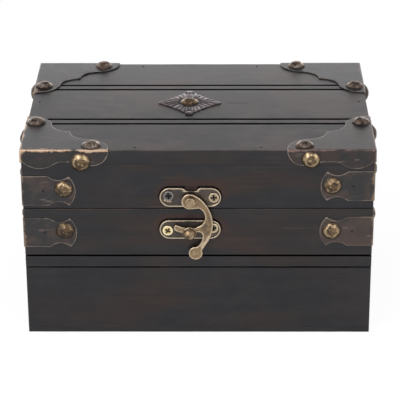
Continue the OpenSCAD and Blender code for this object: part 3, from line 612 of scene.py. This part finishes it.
# Folded sheet metal. The nail heads hide their holes, so these are closed first; the folds get a
# round bend and the cut edges a fine arris; then a grid lets the wear follow edges and folds.
def makeSheet(node, look, material, body, nails):
    bm = cadCopy(node)
    skin = [boxWidth / 2 + look["thickness"], boxDepth / 2 + look["thickness"], boxHeight + look["thickness"]]
    planes = {}
    for face in bm.faces:
        if face.calc_area() > sheetLook["leastFace"]:
            axis = max(range(3), key=lambda one: abs(face.normal[one]))
            planes[(axis, round(face.calc_center_median()[axis] / mm, 2))] = face.normal.copy()
    doomed = []
    for vert in bm.verts:
        for where, out in nails:
            depth = (vert.co - where).dot(out)
            away = (vert.co - where - out * depth).length
            if abs(depth) < sheetLook["holeDepth"] and away < sheetLook["holeRadius"]:
                doomed.append(vert)
                break
    # a deleted hole leaves the edges that ran to it across a flat face
    chords = [edge for edge in bm.edges if len(edge.link_faces) == 2 and edge.calc_face_angle(0.0) < 0.01]
    bmesh.ops.delete(bm, geom=doomed, context="VERTS")
    loose = [edge for edge in chords if edge.is_valid and not edge.link_faces]
    bmesh.ops.delete(bm, geom=loose, context="EDGES")
    for (axis, at), normal in planes.items():
        rim = [edge for edge in bm.edges if len(edge.link_faces) < 2
               and all(abs(vert.co[axis] - at * mm) < sheetLook["tolerance"] for vert in edge.verts)]
        bmesh.ops.triangle_fill(bm, edges=rim, use_beauty=True, use_dissolve=False, normal=normal)

    def outsides(point):
        return sum(abs(abs(point[axis]) - skin[axis]) < sheetLook["tolerance"] for axis in range(3))

    folds = sharpEdges(bm, 60, lambda edge: all(outsides(v.co) >= 2 for v in edge.verts)
                       and edge.calc_length() > sheetLook["leastFold"])
    creases = pointsAlong(folds)

    def isCut(edge):
        return edge.calc_length() > sheetLook["leastCut"] and all(outsides(v.co) >= 1 for v in edge.verts)

    rims = pointsAlong(sharpEdges(bm, 60, lambda edge: edge not in folds and isCut(edge)))
    roundEdges(bm, folds, look["foldRound"], 3)
    roundEdges(bm, sharpEdges(bm, 60, lambda edge: edge.is_convex and isCut(edge)), look["arris"], 2)
    low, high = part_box(node)
    for axis in range(3):
        cutAcross(bm, axis, low[axis], high[axis], sheetLook["grid"])
    markNear(bm, "edge", rims, wearReach)
    markNear(bm, "fold", creases, wearReach)
    # the lower ends of a protector's corner stand a little off the wood
    for vert in bm.verts if "flare" in look else []:
        near = 1.0
        for axis in (0, 1):
            near *= smooth(abs(vert.co[axis]), skin[axis] - look["flareReach"], skin[axis])
        off = look["flare"] * near * ((skin[2] - vert.co.z) / sheetLook["flareHeight"]) ** 2
        vert.co.x += math.copysign(off, vert.co.x)
        vert.co.y += math.copysign(off, vert.co.y)
    finishPiece(bm, f"{node}_sheet", material, body, [node])


protectorCorners = {
    "front_left": {"foldWear": 1.0, "gold": (0.52, 0.365, 0.255)},
    "front_right": {"foldWear": 0.45, "gold": (0.30, 0.20, 0.17), "rubbed": 0.12},
}
rearCorner = {"foldWear": 0.25, "gold": (0.48, 0.32, 0.19), "lipWear": 0.6, "bright": (0.30, 0.27, 0.25),
              "wax": 0.2, "ior": 1.36}
strapRub = {"base_front_right": 0.13, "lid_front_left": -0.03}
strapSeeds = {"lid": 27, "base": 20}
for index, (*_, corner) in enumerate(corners):
    look = {**protectorLook, **protectorCorners.get(corner, rearCorner)}
    metal = sheetFinish(f"antiqueProtector_{corner}", look, 3 + index)
    makeSheet(f"protector_{corner}", look, metal, "lid", nailPlaces["protector"])
    for body, seed in strapSeeds.items():
        look = {**strapLook, "rubbed": strapRub.get(f"{body}_{corner}", strapLook["rubbed"])}
        metal = sheetFinish(f"antiqueStrap_{body}_{corner}", look, seed + index)
        makeSheet(f"{body}_strap_{corner}", look, metal, body, nailPlaces[f"{body}_strap"])
print("sheet metal: protectors and straps folded")


nailLook = {
    "radius": 4.4 * mm,
    "height": 2.42 * mm,
    "lip": 0.3 * mm,
    "steps": 40,
    "rings": 11,
    "dent": 0.24 * mm,
    "dentSize": 2.3 * mm,
    "fine": 0.06 * mm,  # depth of the fine dents, and their scale per metre
    "fineScale": 1400,
    "shank": 0.6 * mm,
    "shankLength": 5.5 * mm,
    "lean": 0.05,
    # radii where the painted highlight ring, the bright middle and the painted shade at the foot change, as
    # shares of the head's
    "heart": (0.12, 0.42),
    "ring": (0.45, 0.62),
    "ringEnd": (0.72, 0.88),
    "foot": (0.84, 0.97),
    # how far towards the rear the painted light on a head on top begins and is full
    "rear": (0.35, 0.75),
}
nailBrass = {
    "dark": (0.030, 0.022, 0.017),
    "middle": (0.130, 0.088, 0.050),
    "tarnish": (0.058, 0.040, 0.030),
    "bright": (0.35, 0.262, 0.158),
    "scale": 520.0,
    "mottle": 0.5,
    "patchy": 0.7,
    "polish": 0.29,
}


# A profile of radii and heights, spun about +Z
def turnedShape(profile, steps, weld):
    bm = bmesh.new()
    verts = [bm.verts.new((radius, 0.0, height)) for radius, height in profile]
    edges = [bm.edges.new(pair) for pair in zip(verts, verts[1:])]
    bmesh.ops.spin(bm, geom=verts + edges, cent=(0, 0, 0), axis=(0, 0, 1), angle=math.tau,
                   steps=steps, use_merge=True, use_duplicate=False)
    bmesh.ops.remove_doubles(bm, verts=bm.verts, dist=weld)
    return bm


# One hammered head on its shank, drawn about +Z with its back at 0, then set out by a matrix and
# lifted by the metal under it. It is brightest on a painted highlight ring and brighter in its middle, dark in
# the dents, and darkened around its foot by painted shade. The heads on top are paler, most of all towards the
# rear: painted light.
def addNail(bm, matrix, metal, seed, sheen, wide=1.0, flatness=1.0):
    look = nailLook
    cap = (look["radius"] ** 2 + look["height"] ** 2) / (2 * look["height"])
    rim = math.asin(min(look["radius"] / cap, 1.0))
    profile = [(0.0, -look["shankLength"]), (look["shank"], -look["shankLength"]), (look["shank"], 0.0),
               (look["radius"] * 0.94, 0.0)]
    for ring in range(look["rings"]):
        angle = rim * (1 - ring / look["rings"])
        thick = 0.0 if ring else look["lip"] * 0.4
        profile.append((cap * math.sin(angle), look["height"] - cap + cap * math.cos(angle) + thick))
    profile.append((0.0, look["height"]))
    tool = turnedShape(profile, look["steps"], 0.01 * mm)
    high = tool.verts.layers.float.new("edge")
    upward = (matrix.to_3x3() @ Vector((0, 0, 1))).z > 0.5
    for vert in tool.verts:
        share = vert.co.xy.length / look["radius"]
        if vert.co.z < look["lip"]:
            continue
        spot = Vector((vert.co.x, vert.co.y, 0.0)) / look["dentSize"] + Vector((seed * 7.3, seed * 3.1, 0.0))
        hollow = min(noise.voronoi(spot)[0][0] * 1.6, 1.0) ** 2
        fine = noise.noise(vert.co * look["fineScale"] + Vector((seed, seed, 0)))
        fade = min((vert.co.z - look["lip"]) / (0.5 * mm), 1.0)
        vert.co.z -= look["dent"] * (1 - hollow) * fade + abs(fine) * look["fine"] * fade
        # painted highlight ring, a brighter middle, dark dents and painted shade at the foot
        ring = smooth(share, *look["ring"]) * (1 - smooth(share, *look["ringEnd"]))
        heart = 1 - smooth(share, *look["heart"])
        shine = sheen * (0.22 + 0.38 * ring + 0.25 * heart) + 0.5 * (hollow - 0.45) + fine * 0.6
        vert[high] = min(max(shine, 0.0), 1.0)
        # painted light: heads on top are paler towards the rear, and there their foot is hardly darkened
        rearward = (matrix.to_3x3() @ vert.co).y / look["radius"]
        if upward:
            vert[high] = min(vert[high] + 0.7 * smooth(rearward, *look["rear"]), 1.0)
        vert[high] *= 1 - smooth(share, *look["foot"]) * (1 - 0.9 * upward * smooth(rearward, 0.2, 0.5))
    for face in tool.faces:
        face.material_index = int(upward)
    bmesh.ops.recalc_face_normals(tool, faces=tool.faces)
    lean = Matrix.Rotation(random.uniform(-1, 1) * look["lean"], 4, "X") \
        @ Matrix.Rotation(random.uniform(-1, 1) * look["lean"], 4, "Y")
    matrix = matrix @ Matrix.Translation((0, 0, metal)) @ lean @ Matrix.Diagonal((wide, wide, flatness, 1))
    bmesh.ops.transform(tool, verts=tool.verts, matrix=matrix)
    scrap = bpy.data.meshes.new("scrap")
    tool.to_mesh(scrap)
    tool.free()
    bm.from_mesh(scrap)
    bpy.data.meshes.remove(scrap)


# a paler copy of the brass for the heads on top: painted light from above
topLitPalette = {
    "dark": (0.030, 0.024, 0.022),
    "middle": (0.215, 0.165, 0.125),
    "tarnish": (0.125, 0.075, 0.055),
    "bright": (0.55, 0.48, 0.43),
}
hammered = [bronzeFinish("hammeredBrass", nailBrass, 5),
            bronzeFinish("hammeredPaleTopLit", {**nailBrass, **topLitPalette}, 5)]
# strength of each nail's painted highlights: by the way it faces, standing in for the light falling on it, and
# for single nails
nailSheen = {
    "top": 0.75,
    "front": 1.1,
    "side": 0.5,
    # single nails, by set and number
    ("base_strap", 0): 0.45,
    ("protector", 5): 1.7,
}
for group, places in nailPlaces.items():
    bm = bmesh.new()
    metal = (protectorLook if group == "protector" else strapLook)["thickness"]
    for index, (where, out) in enumerate(places):
        facing = "top" if out.z > 0.5 else "side" if abs(out.x) > 0.5 else "front"
        sheen = nailSheen.get((group, index), nailSheen[facing]) * random.uniform(0.8, 1.2)
        wide = 1.08 if group == "protector" and index < 4 else 1.0
        addNail(bm, setOut(where, out, random.uniform(0, math.tau)), metal, index + len(group), sheen, wide)
    body = "base" if group == "base_strap" else "lid"
    finishPiece(bm, f"{group}_nails_domed", hammered, body, [f"{group}_nails"], 50)
bm = bmesh.new()
addNail(bm, setOut(topMiddle, (0, 0, 1), 0.4), 0.5 * mm, 77, 1.1, 1.05, 0.85)
finishPiece(bm, "diamond_nail_domed", [hammered[0]] * 2, "lid", ["diamond_nail"], 50)
print("nails: heads hammered")


diamondLook = {
    "halfWidth": 15.8 * mm,
    "halfDepth": 15.6 * mm,
    "hollow": 0.87,
    "thickness": 1.0 * mm,
    "leaves": 7,  # along each of its four sides
    "leafDepth": 0.34 * mm,
    "steps": 336,
    "rings": 20,
    "petal": 2.1 * mm,
    "petalPlace": 12.9 * mm,
    "cup": 4.6 * mm,  # radius of the plain hollow around the nail
}
diamondMetal = {
    "dark": (0.016, 0.014, 0.015),
    "middle": (0.135, 0.114, 0.118),
    "tarnish": (0.078, 0.058, 0.056),
    "bright": (0.33, 0.29, 0.29),
    "scale": 420.0,
    "mottle": 0.3,
    "patchy": 0.5,
    "polish": 0.36,
}


def diamondReach(angle):
    look = diamondLook
    power = look["hollow"]
    reach = (abs(math.cos(angle) / look["halfWidth"]) ** power
             + abs(math.sin(angle) / look["halfDepth"]) ** power) ** (-1 / power)
    for end in (-1, 1):
        off = math.atan2(math.sin(angle - end * math.pi / 2), math.cos(angle - end * math.pi / 2))
        across = look["petalPlace"] * math.sin(off)
        if abs(across) < look["petal"] and abs(off) < 0.5:
            reach = max(reach, look["petalPlace"] * math.cos(off) + math.sqrt(look["petal"] ** 2 - across ** 2))
    return min(reach, look["halfDepth"])


# a round disc, pulled out to the diamond's outline, with ribs like leaves and a petal at its tips on Y
look = diamondLook
bm = turnedShape([(ring / look["rings"], 0.0) for ring in range(look["rings"] + 1)], look["steps"], 1e-4)
high = bm.verts.layers.float.new("edge")
for vert in bm.verts:
    share = vert.co.xy.length
    angle = math.atan2(vert.co.y, vert.co.x)
    # place along the side, from the tip on X to the tip on Y
    along = abs(math.sin(angle)) / (abs(math.sin(angle)) + abs(math.cos(angle)))
    drift = 0.06 * noise.noise(Vector((math.cos(angle), math.sin(angle), share * 0.7)) * 3.1)
    lobe = abs(math.sin(math.pi * look["leaves"] * (along + drift + 0.1 * (1 - share))))
    reach = diamondReach(angle) * (0.94 + 0.06 * lobe ** 0.5)
    spot = Vector((math.cos(angle), math.sin(angle), 0)) * reach * share
    leaf = lobe ** 0.8
    outward = smooth(spot.length, look["cup"], look["cup"] + 1.5 * mm)
    rise = look["thickness"] * (0.92 - 0.22 * share ** 2) - look["leafDepth"] * (1 - leaf) * outward
    rise -= 0.35 * mm * (1 - outward)
    mark = 0.12 + outward * (0.22 + 0.42 * leaf * smooth(share, 0.25, 0.8)) + 0.2 * smooth(share, 0.85, 0.95)
    if share > 0.96:
        rise -= 0.2 * mm
    petalAway = min((spot - Vector((0, end * look["petalPlace"], 0))).length for end in (-1, 1))
    petal = 1 - min(petalAway / look["petal"], 1.0)
    if petalAway < look["petal"] * 1.2:
        rise = look["thickness"] * (0.62 + 0.38 * petal) - (0.35 * mm if petalAway > look["petal"] else 0)
        mark = 0.1 if petalAway > look["petal"] else 0.45 + 0.5 * petal
    vert.co = (spot.x, spot.y, min(max(rise, 0.12 * mm), look["thickness"]))
    # painted shade: the front left quarter is darker
    mark += 0.35 * noise.noise(spot * 600) - 0.12 * (spot.x < 0 and spot.y < 0)
    vert[high] = min(max(mark, 0.0), 1.0)
rim = [edge for edge in bm.edges if edge.is_boundary]
skirt = bmesh.ops.extrude_edge_only(bm, edges=rim)
for vert in [item for item in skirt["geom"] if isinstance(item, bmesh.types.BMVert)]:
    vert.co.z = 0.0
    vert[high] = 0.0
bmesh.ops.edgeloop_fill(bm, edges=[edge for edge in bm.edges if edge.is_boundary])
bmesh.ops.recalc_face_normals(bm, faces=bm.faces)
bmesh.ops.transform(bm, verts=bm.verts, matrix=Matrix.Translation(topMiddle))
pressed = bronzeFinish("antiqueDiamond", diamondMetal, 8)
finishPiece(bm, "diamond_ornament_relief", pressed, "lid", ["diamond_ornament"], 30)
print("ornament: diamond pressed")


hookBronze = {
    "dark": (0.045, 0.030, 0.022),
    "middle": (0.270, 0.190, 0.108),
    "tarnish": (0.115, 0.085, 0.068),
    "bright": (0.52, 0.415, 0.29),
    "scale": 700.0,
    "mottle": 0.75,
    "patchy": 0.6,
    "polish": 0.28,
}
plateBronze = {**hookBronze, "dark": (0.050, 0.042, 0.036), "middle": (0.100, 0.078, 0.062),
               "tarnish": (0.070, 0.062, 0.062), "bright": (0.50, 0.41, 0.30)}
screwLooks = {
    # name: (dark, middle, tarnish, bright, cross), where the cross is what crossMarks takes
    "greyScrew": ((0.006, 0.006, 0.008), (0.034, 0.034, 0.038), (0.012, 0.012, 0.015),
                  (0.22, 0.20, 0.18), (-9.95, 2.5, 0.1, 0.42)),
    "bronzeScrew": ((0.006, 0.004, 0.003), (0.20, 0.15, 0.10), (0.11, 0.08, 0.055),
                    (0.52, 0.43, 0.30), (10.65, 1.6, 0.15, 0.36)),
    "brassScrew": ((0.05, 0.03, 0.008), (0.68, 0.52, 0.24), (0.50, 0.37, 0.16),
                   (0.92, 0.80, 0.50), (-10.45, -15.0, 0.6, 0.2)),
    "tarnishedScrew": ((0.008, 0.006, 0.005), (0.12, 0.095, 0.062), (0.06, 0.05, 0.035),
                       (0.60, 0.50, 0.34), (10.35, -13.7, 0.4, 0.3)),
}
screwFinishes = {}
for name, looks in screwLooks.items():
    look = {**dict(zip(("dark", "middle", "tarnish", "bright", "cross"), looks)),
            "scale": 700.0, "mottle": 0.3, "patchy": 0.4, "polish": 0.24}
    screwFinishes[name] = bronzeFinish(name, look, 6)
hookMetal = bronzeFinish("antiqueBronze", hookBronze, 2)
plateMetal = bronzeFinish("plateBronze", plateBronze, 4)

latchLook = {
    "plateBead": 0.24 * mm,
    "plateGrid": 0.6 * mm,
    "dip": (0.4 * mm, 2.3 * mm),  # its middle along X from the rivet, and half its width
    "plateFace": 0.5 * mm,  # what stands out further is a plate's front
    "beadDepth": 0.2 * mm,
    "beadShine": 0.92,
    # painted shade in the upper plate's dip, above the hook's eye: the share of the shine that stays
    "dipShine": 0.45,
    # painted highlights and shade, and other bright and dull places, along X and up from the rivet, in
    # millimetres; a glint also has its brightness, and how much of it is lost with each millimetre
    "glints": [(-2.2, 5.4, 1.8, 0.75), (2.8, 5.5, 1.8, 0.75), (-11.6, 0.1, 1.2, 1.0),
               (-10.4, -0.3, 1.2, 1.0), (-9.2, -0.4, 1.2, 1.0)],
    "thumb": (2.3, -25.8),
    # painted highlight streak on the hook's neck
    "neck": [(8.6, -17.4), (5.2, -22.4)],  # ends of a streak above the thumb
    "dull": (7.4, -13.4),
    # painted shade on the catch's ball, at its lower left
    "knobShade": (-1.5, -14.9),
    # the hook's shape
    "fingerEnd": -3.2,  # the finger lies left of this and below the next, from the rivet
    "fingerTop": -8,
    "fingerWide": 1.3,  # how much thicker the finger is forged than it is cut
    "fingerLevel": 0.35,  # how much of the finger's slope is taken off
    "armFront": 3.0 * mm,  # how far the hook's front stands before the wood
    "frontDepth": 0.45 * mm,
    "hookRound": 0.3 * mm,
    "hookGrid": 0.45 * mm,
    "rimWidth": 0.55 * mm,
    "rimSlope": 0.35 * mm,
    "fieldSink": 0.24 * mm,
    # the rivet, the stud and the screws
    "rivetFront": 3.4 * mm,
    "studFront": 6.05 * mm,
    "headFront": 1.1 * mm,
    "headEdge": 1.25 * mm,
    "headRound": 0.18 * mm,
    "slotEdge": 0.55 * mm,  # the slots' edges are longer than this, and stay sharp
}


# How far a point stands in front of the wood
def proud(point):
    return frontFace - point.y


# A point's place along X and up from the rivet, in millimetres
def fromRivet(point):
    return (point - pivotPlace).xz / mm


# A plate with a bead around a sunk field
def makePlate(node, body):
    look = latchLook
    bm = cadCopy(node)
    low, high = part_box(node)
    top = high.y - low.y
    rims = sharpEdges(bm, 50, lambda edge: all(proud(v.co) > top - 0.05 * mm for v in edge.verts))
    roundEdges(bm, rims, look["plateBead"], 3)
    for axis in (0, 2):
        cutAcross(bm, axis, low[axis], high[axis], look["plateGrid"])
    middle, half = look["dip"]
    layer = bm.verts.layers.float.new("edge")
    for vert in bm.verts:
        shine = 0.0
        if proud(vert.co) > top - look["beadDepth"]:
            shine = look["beadShine"]
        elif proud(vert.co) > look["plateFace"]:
            field = 0.14 + 0.3 * smooth(vert.co.x, 0.0, 3 * mm) + 0.25 * noise.noise(vert.co * 350)
            shine = max(field, 0.0)
        if node == "latch_plate" and proud(vert.co) > look["plateFace"]:
            # painted shade in the dip above the hook's eye
            if abs(vert.co.x - pivotPlace.x - middle) < half and vert.co.z > pivotPlace.z:
                shine *= look["dipShine"]
            # painted highlights on the upper plate
            for across, up, glint, loss in look["glints"]:
                shine = max(shine, glint - loss * (fromRivet(vert.co) - Vector((across, up))).length)
        vert[layer] = shine
    finishPiece(bm, f"{node}_bead", plateMetal, body, [node])


makePlate("latch_plate", "lid")
makePlate("catch_plate", "base")

# the hook: its thumb knob is brought level with the arm, its finger is thickened and turned about
# its root, and the field inside its rim is sunk
bm = cadCopy("latch_hook")
look = latchLook
for vert in bm.verts:
    if proud(vert.co) > look["armFront"]:
        vert.co.y = frontFace - look["armFront"]
bmesh.ops.remove_doubles(bm, verts=bm.verts, dist=0.01 * mm)
bmesh.ops.dissolve_degenerate(bm, edges=bm.edges, dist=0.005 * mm)
finger = [vert for vert in bm.verts if fromRivet(vert.co).x < look["fingerEnd"]
          and fromRivet(vert.co).y < look["fingerTop"]]
middle = sum((vert.co for vert in finger), Vector()) / len(finger)
slope = sum((vert.co.x - middle.x) * (vert.co.z - middle.z) for vert in finger) \
    / sum((vert.co.x - middle.x) ** 2 for vert in finger)
for vert in finger:
    axisHeight = middle.z + slope * (vert.co.x - middle.x)
    vert.co.z = axisHeight + (vert.co.z - axisHeight) * look["fingerWide"]
    vert.co.z -= slope * look["fingerLevel"] * (vert.co.x - pivotPlace.x - look["fingerEnd"] * mm)
bmesh.ops.dissolve_limit(bm, angle_limit=math.radians(0.6), verts=bm.verts, edges=bm.edges)
rims = sharpEdges(bm, 60, lambda edge: all(proud(v.co) > look["armFront"] - 0.05 * mm for v in edge.verts)
                  and (edge.verts[0].co - pivotPlace).xz.length > 2 * mm)
outline = pointsAlong(rims)
roundEdges(bm, rims, look["hookRound"], 3)
low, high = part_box("latch_hook")
for axis in (0, 2):
    cutAcross(bm, axis, low[axis], high[axis], look["hookGrid"])
layer = markNear(bm, "edge", outline, wearReach)
for vert in bm.verts:
    away = (1 - vert[layer]) * wearReach
    if proud(vert.co) > look["armFront"] - 0.01 * mm:
        vert.co.y += look["fieldSink"] * smooth(away, look["rimWidth"], look["rimWidth"] + look["rimSlope"])
    inner = smooth(away, look["rimWidth"] * 0.8, look["rimWidth"] + look["rimSlope"])
    if proud(vert.co) <= look["armFront"] - look["frontDepth"]:
        vert[layer] = 0.0
        continue
    apart = fromRivet(vert.co)
    # painted highlight: a streak along the neck
    start, end = (Vector(point) for point in look["neck"])
    share = min(max((apart - start).dot(end - start) / (end - start).length_squared, 0.0), 1.0)
    streak = 0.95 - 0.9 * smooth((apart - start.lerp(end, share)).length, 0.3, 1.3)
    knob = 0.62 - 0.6 * smooth((apart - Vector(look["thumb"])).length, 1.2, 2.6)
    dull = 1 - smooth((apart - Vector(look["dull"])).length, 1.5, 3.5)
    inFinger = apart.x < look["fingerEnd"] and apart.y < look["fingerTop"]
    vert[layer] = max(look["beadShine"] - (0.55 + 0.08 * dull) * inner, streak, knob, 0.5 * inFinger)
finishPiece(bm, "latch_hook_rimmed", hookMetal, "latch_hook", ["latch_hook"], 50)


def rivetShine(point):
    return 0.62 if proud(point) > latchLook["rivetFront"] else 0.1


# the catch's ball: mottled shine on its front, with painted shade at its lower left
def studShine(point):
    away = (fromRivet(point) - Vector(latchLook["knobShade"])).length
    worn = 0.58 + 0.5 * noise.noise(point * 500) - 0.6 * (1 - smooth(away, 0.5, 1.7))
    return max(worn, 0.0) if proud(point) > latchLook["studFront"] else 0.0


knobs = {
    # node: (name, body, depth of its front edge, rounding, its segments, shine)
    "latch_rivet": ("latch_rivet_head", "lid", 3.8 * mm, 0.42 * mm, 5, rivetShine),
    "catch_stud": ("catch_stud_knob", "base", 3.5 * mm, 0.12 * mm, 2, studShine),
}
for node, (name, body, front, width, segments, shine) in knobs.items():
    bm = cadCopy(node)
    rims = sharpEdges(bm, 50, lambda edge: all(proud(v.co) > front for v in edge.verts))
    roundEdges(bm, rims, width, segments)
    layer = bm.verts.layers.float.new("edge")
    for vert in bm.verts:
        vert[layer] = shine(vert.co)
    finishPiece(bm, name, hookMetal, body, [node], 60)


# Screws with a rounded head and a crossed slot; each is turned as far as it was driven
def makeScrews(node, body, names, turns):
    look = latchLook
    bm = cadCopy(node)
    heads = [vert.co.x for vert in bm.verts]
    middle = (min(heads) + max(heads)) / 2
    rims = sharpEdges(bm, 50, lambda edge: all(proud(v.co) > look["headEdge"] for v in edge.verts)
                      and edge.calc_length() < look["slotEdge"])
    roundEdges(bm, rims, look["headRound"], 3)
    layer = bm.verts.layers.float.new("edge")
    for vert in bm.verts:
        vert[layer] = 0.66 if proud(vert.co) > look["headFront"] else 0.0
    for face in bm.faces:
        face.material_index = 0 if face.calc_center_median().x < middle else 1
    for side in (0, 1):
        screw = [vert for vert in bm.verts if (vert.co.x > middle) == bool(side)]
        centre = sum((vert.co for vert in screw), Vector()) / len(screw)
        bmesh.ops.rotate(bm, verts=screw, cent=centre, matrix=Matrix.Rotation(turns[side], 3, "Y"))
    finishPiece(bm, f"{node}_cross", [screwFinishes[name] for name in names], body, [node])


makeScrews("latch_plate_screws", "lid", ["greyScrew", "bronzeScrew"], (0.1, 0.15))
makeScrews("catch_plate_screws", "base", ["brassScrew", "tarnishedScrew"], (0.6, 0.4))
print("latch: plates, hook, catch and screws")


hingeBronze = {
    "dark": (0.04, 0.035, 0.03),
    "middle": (0.18, 0.15, 0.11),
    "tarnish": (0.10, 0.085, 0.065),
    "bright": (0.42, 0.37, 0.28),
    "scale": 500.0,
    "mottle": 0.5,
    "patchy": 0.5,
    "polish": 0.34,
}
darkSteel = {**hingeBronze, "dark": (0.012, 0.012, 0.012), "middle": (0.03, 0.03, 0.03),
             "tarnish": (0.02, 0.02, 0.02), "bright": (0.08, 0.08, 0.08)}
hingeMetal = bronzeFinish("hingeBronze", hingeBronze, 12)
for side in ("left", "right"):
    for body in ("base", "lid"):
        node = f"hinge_{side}_{body}_leaf"
        bm = cadCopy(node)
        rims = sharpEdges(bm, 60, lambda edge: edge.calc_length() > 1.5 * mm)
        worn = pointsAlong(rims)
        roundEdges(bm, rims, 0.08 * mm, 2)
        markNear(bm, "edge", worn, wearReach)
        finishPiece(bm, f"{node}_bronze", hingeMetal, body, [node])
brads = ("top_board_brads", "bottom_board_brads")
for node in ("hinge_left_pin", "hinge_right_pin", "base_hinge_screws", "lid_hinge_screws", *brads):
    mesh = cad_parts[node].data
    mesh.materials.clear()
    mesh.materials.append(bronzeFinish("bradSteel", darkSteel, 14) if node in brads else hingeMetal)
print("hinges and brads")


studioLook = {
    "floorSize": 6.0,
    "floorShade": 0.85,
    "floorWhite": 1.03,
    "floorGlow": 0.9,  # how far the camera sees it as evenly white
    "floorMirror": 0.48,  # how far reflections see the floor as evenly white
    "skyDiffuse": 0.60,
    "overhead": (0.2, 0.5),  # height in the sky where the dimming begins and where it is full
    "overheadDim": 0.55,
    "mirrorTint": (1.0, 0.975, 1.0),  # what reflections see the room's white as
}
lamps = {
    # name: (place, width, height, power)
    "keyLamp": ((-0.55, -0.80, 0.72), 0.90, 0.90, 9.5),
    "fillLamp": ((0.75, -0.75, 0.60), 0.80, 0.80, 3.9),
    "rearLamp": ((0.0, 0.30, 0.135), 0.55, 0.11, 0.25),
}
bm = bmesh.new()
bmesh.ops.create_grid(bm, x_segments=1, y_segments=1, size=studioLook["floorSize"] / 2)
mesh = bpy.data.meshes.new("paleFloor")
bm.to_mesh(mesh)
bm.free()
floor = addObject("paleFloor", mesh)
paper = Finish("paleFloor", Roughness=0.9, Specular_IOR_Level=0.1)
paper.feed(Base_Color=(studioLook["floorShade"],) * 3)
glow = paper.add("Emission", {"Strength": studioLook["floorWhite"]})
shaded = Wire(paper, paper.shader.outputs[0])
white = (paper.ray("Camera") * studioLook["floorGlow"]).greater(paper.ray("Glossy") * studioLook["floorMirror"])
paper.end("Material Output", paper.add("MixShader", [white, shaded, glow]))
mesh.materials.append(paper.material)

world = bpy.data.worlds.new("studio")
bpy.context.scene.world = world
world.use_nodes = True
sky = Tree(world.node_tree)
soft = sky.add("Background", {"Color": (1, 1, 1), "Strength": studioLook["skyDiffuse"]})
mirrored = sky.ray("Glossy")
# the room is dimmer overhead, which only reflections show
aloft = sky.split(sky.add("TexCoord", output="Generated"))[2]
tint = sky.add("CombineColor", [1 - mirrored * (1 - one) for one in studioLook["mirrorTint"]])
dimmed = 1 - mirrored * aloft.rise(*studioLook["overhead"]) * studioLook["overheadDim"]
white = sky.add("Background", {"Color": tint, "Strength": dimmed})
visible = sky.ray("Camera").greater(mirrored).greater(sky.ray("Transmission"))
sky.end("World Output", sky.add("MixShader", [visible, soft, white]))

for name, (where, width, height, power) in lamps.items():
    lamp = bpy.data.lights.new(name, "AREA")
    lamp.shape = "RECTANGLE"
    lamp.size = width
    lamp.size_y = height
    lamp.energy = power
    holder = addObject(name, lamp)
    holder.location = where
    holder.visible_camera = False
    holder.rotation_euler = (Vector((0, 0, boxHeight / 2)) - Vector(where)).to_track_quat("-Z", "Y").to_euler()

cameraLook = {
    "place": (9.943 * mm, -820.674 * mm, 423.883 * mm),
    "pitch": 0.421612,  # downwards
    "yaw": -0.011744,
    "roll": -0.005205,
    "lens": 166.671,
    "shiftY": -0.06,
}
cameraData = bpy.data.cameras.new("camera")
cameraData.lens = cameraLook["lens"]
cameraData.shift_y = cameraLook["shiftY"]
cameraData.sensor_width = 36.0
cameraData.clip_start = 0.01
camera = addObject("camera", cameraData)
camera.matrix_world = Matrix.Translation(cameraLook["place"]) \
    @ Matrix.Rotation(-cameraLook["yaw"], 4, "Z") \
    @ Matrix.Rotation(math.pi / 2 - cameraLook["pitch"], 4, "X") \
    @ Matrix.Rotation(cameraLook["roll"], 4, "Z")
bpy.context.scene.camera = camera
bpy.context.scene.view_settings.view_transform = "Standard"
print("studio: floor, lamps and camera")
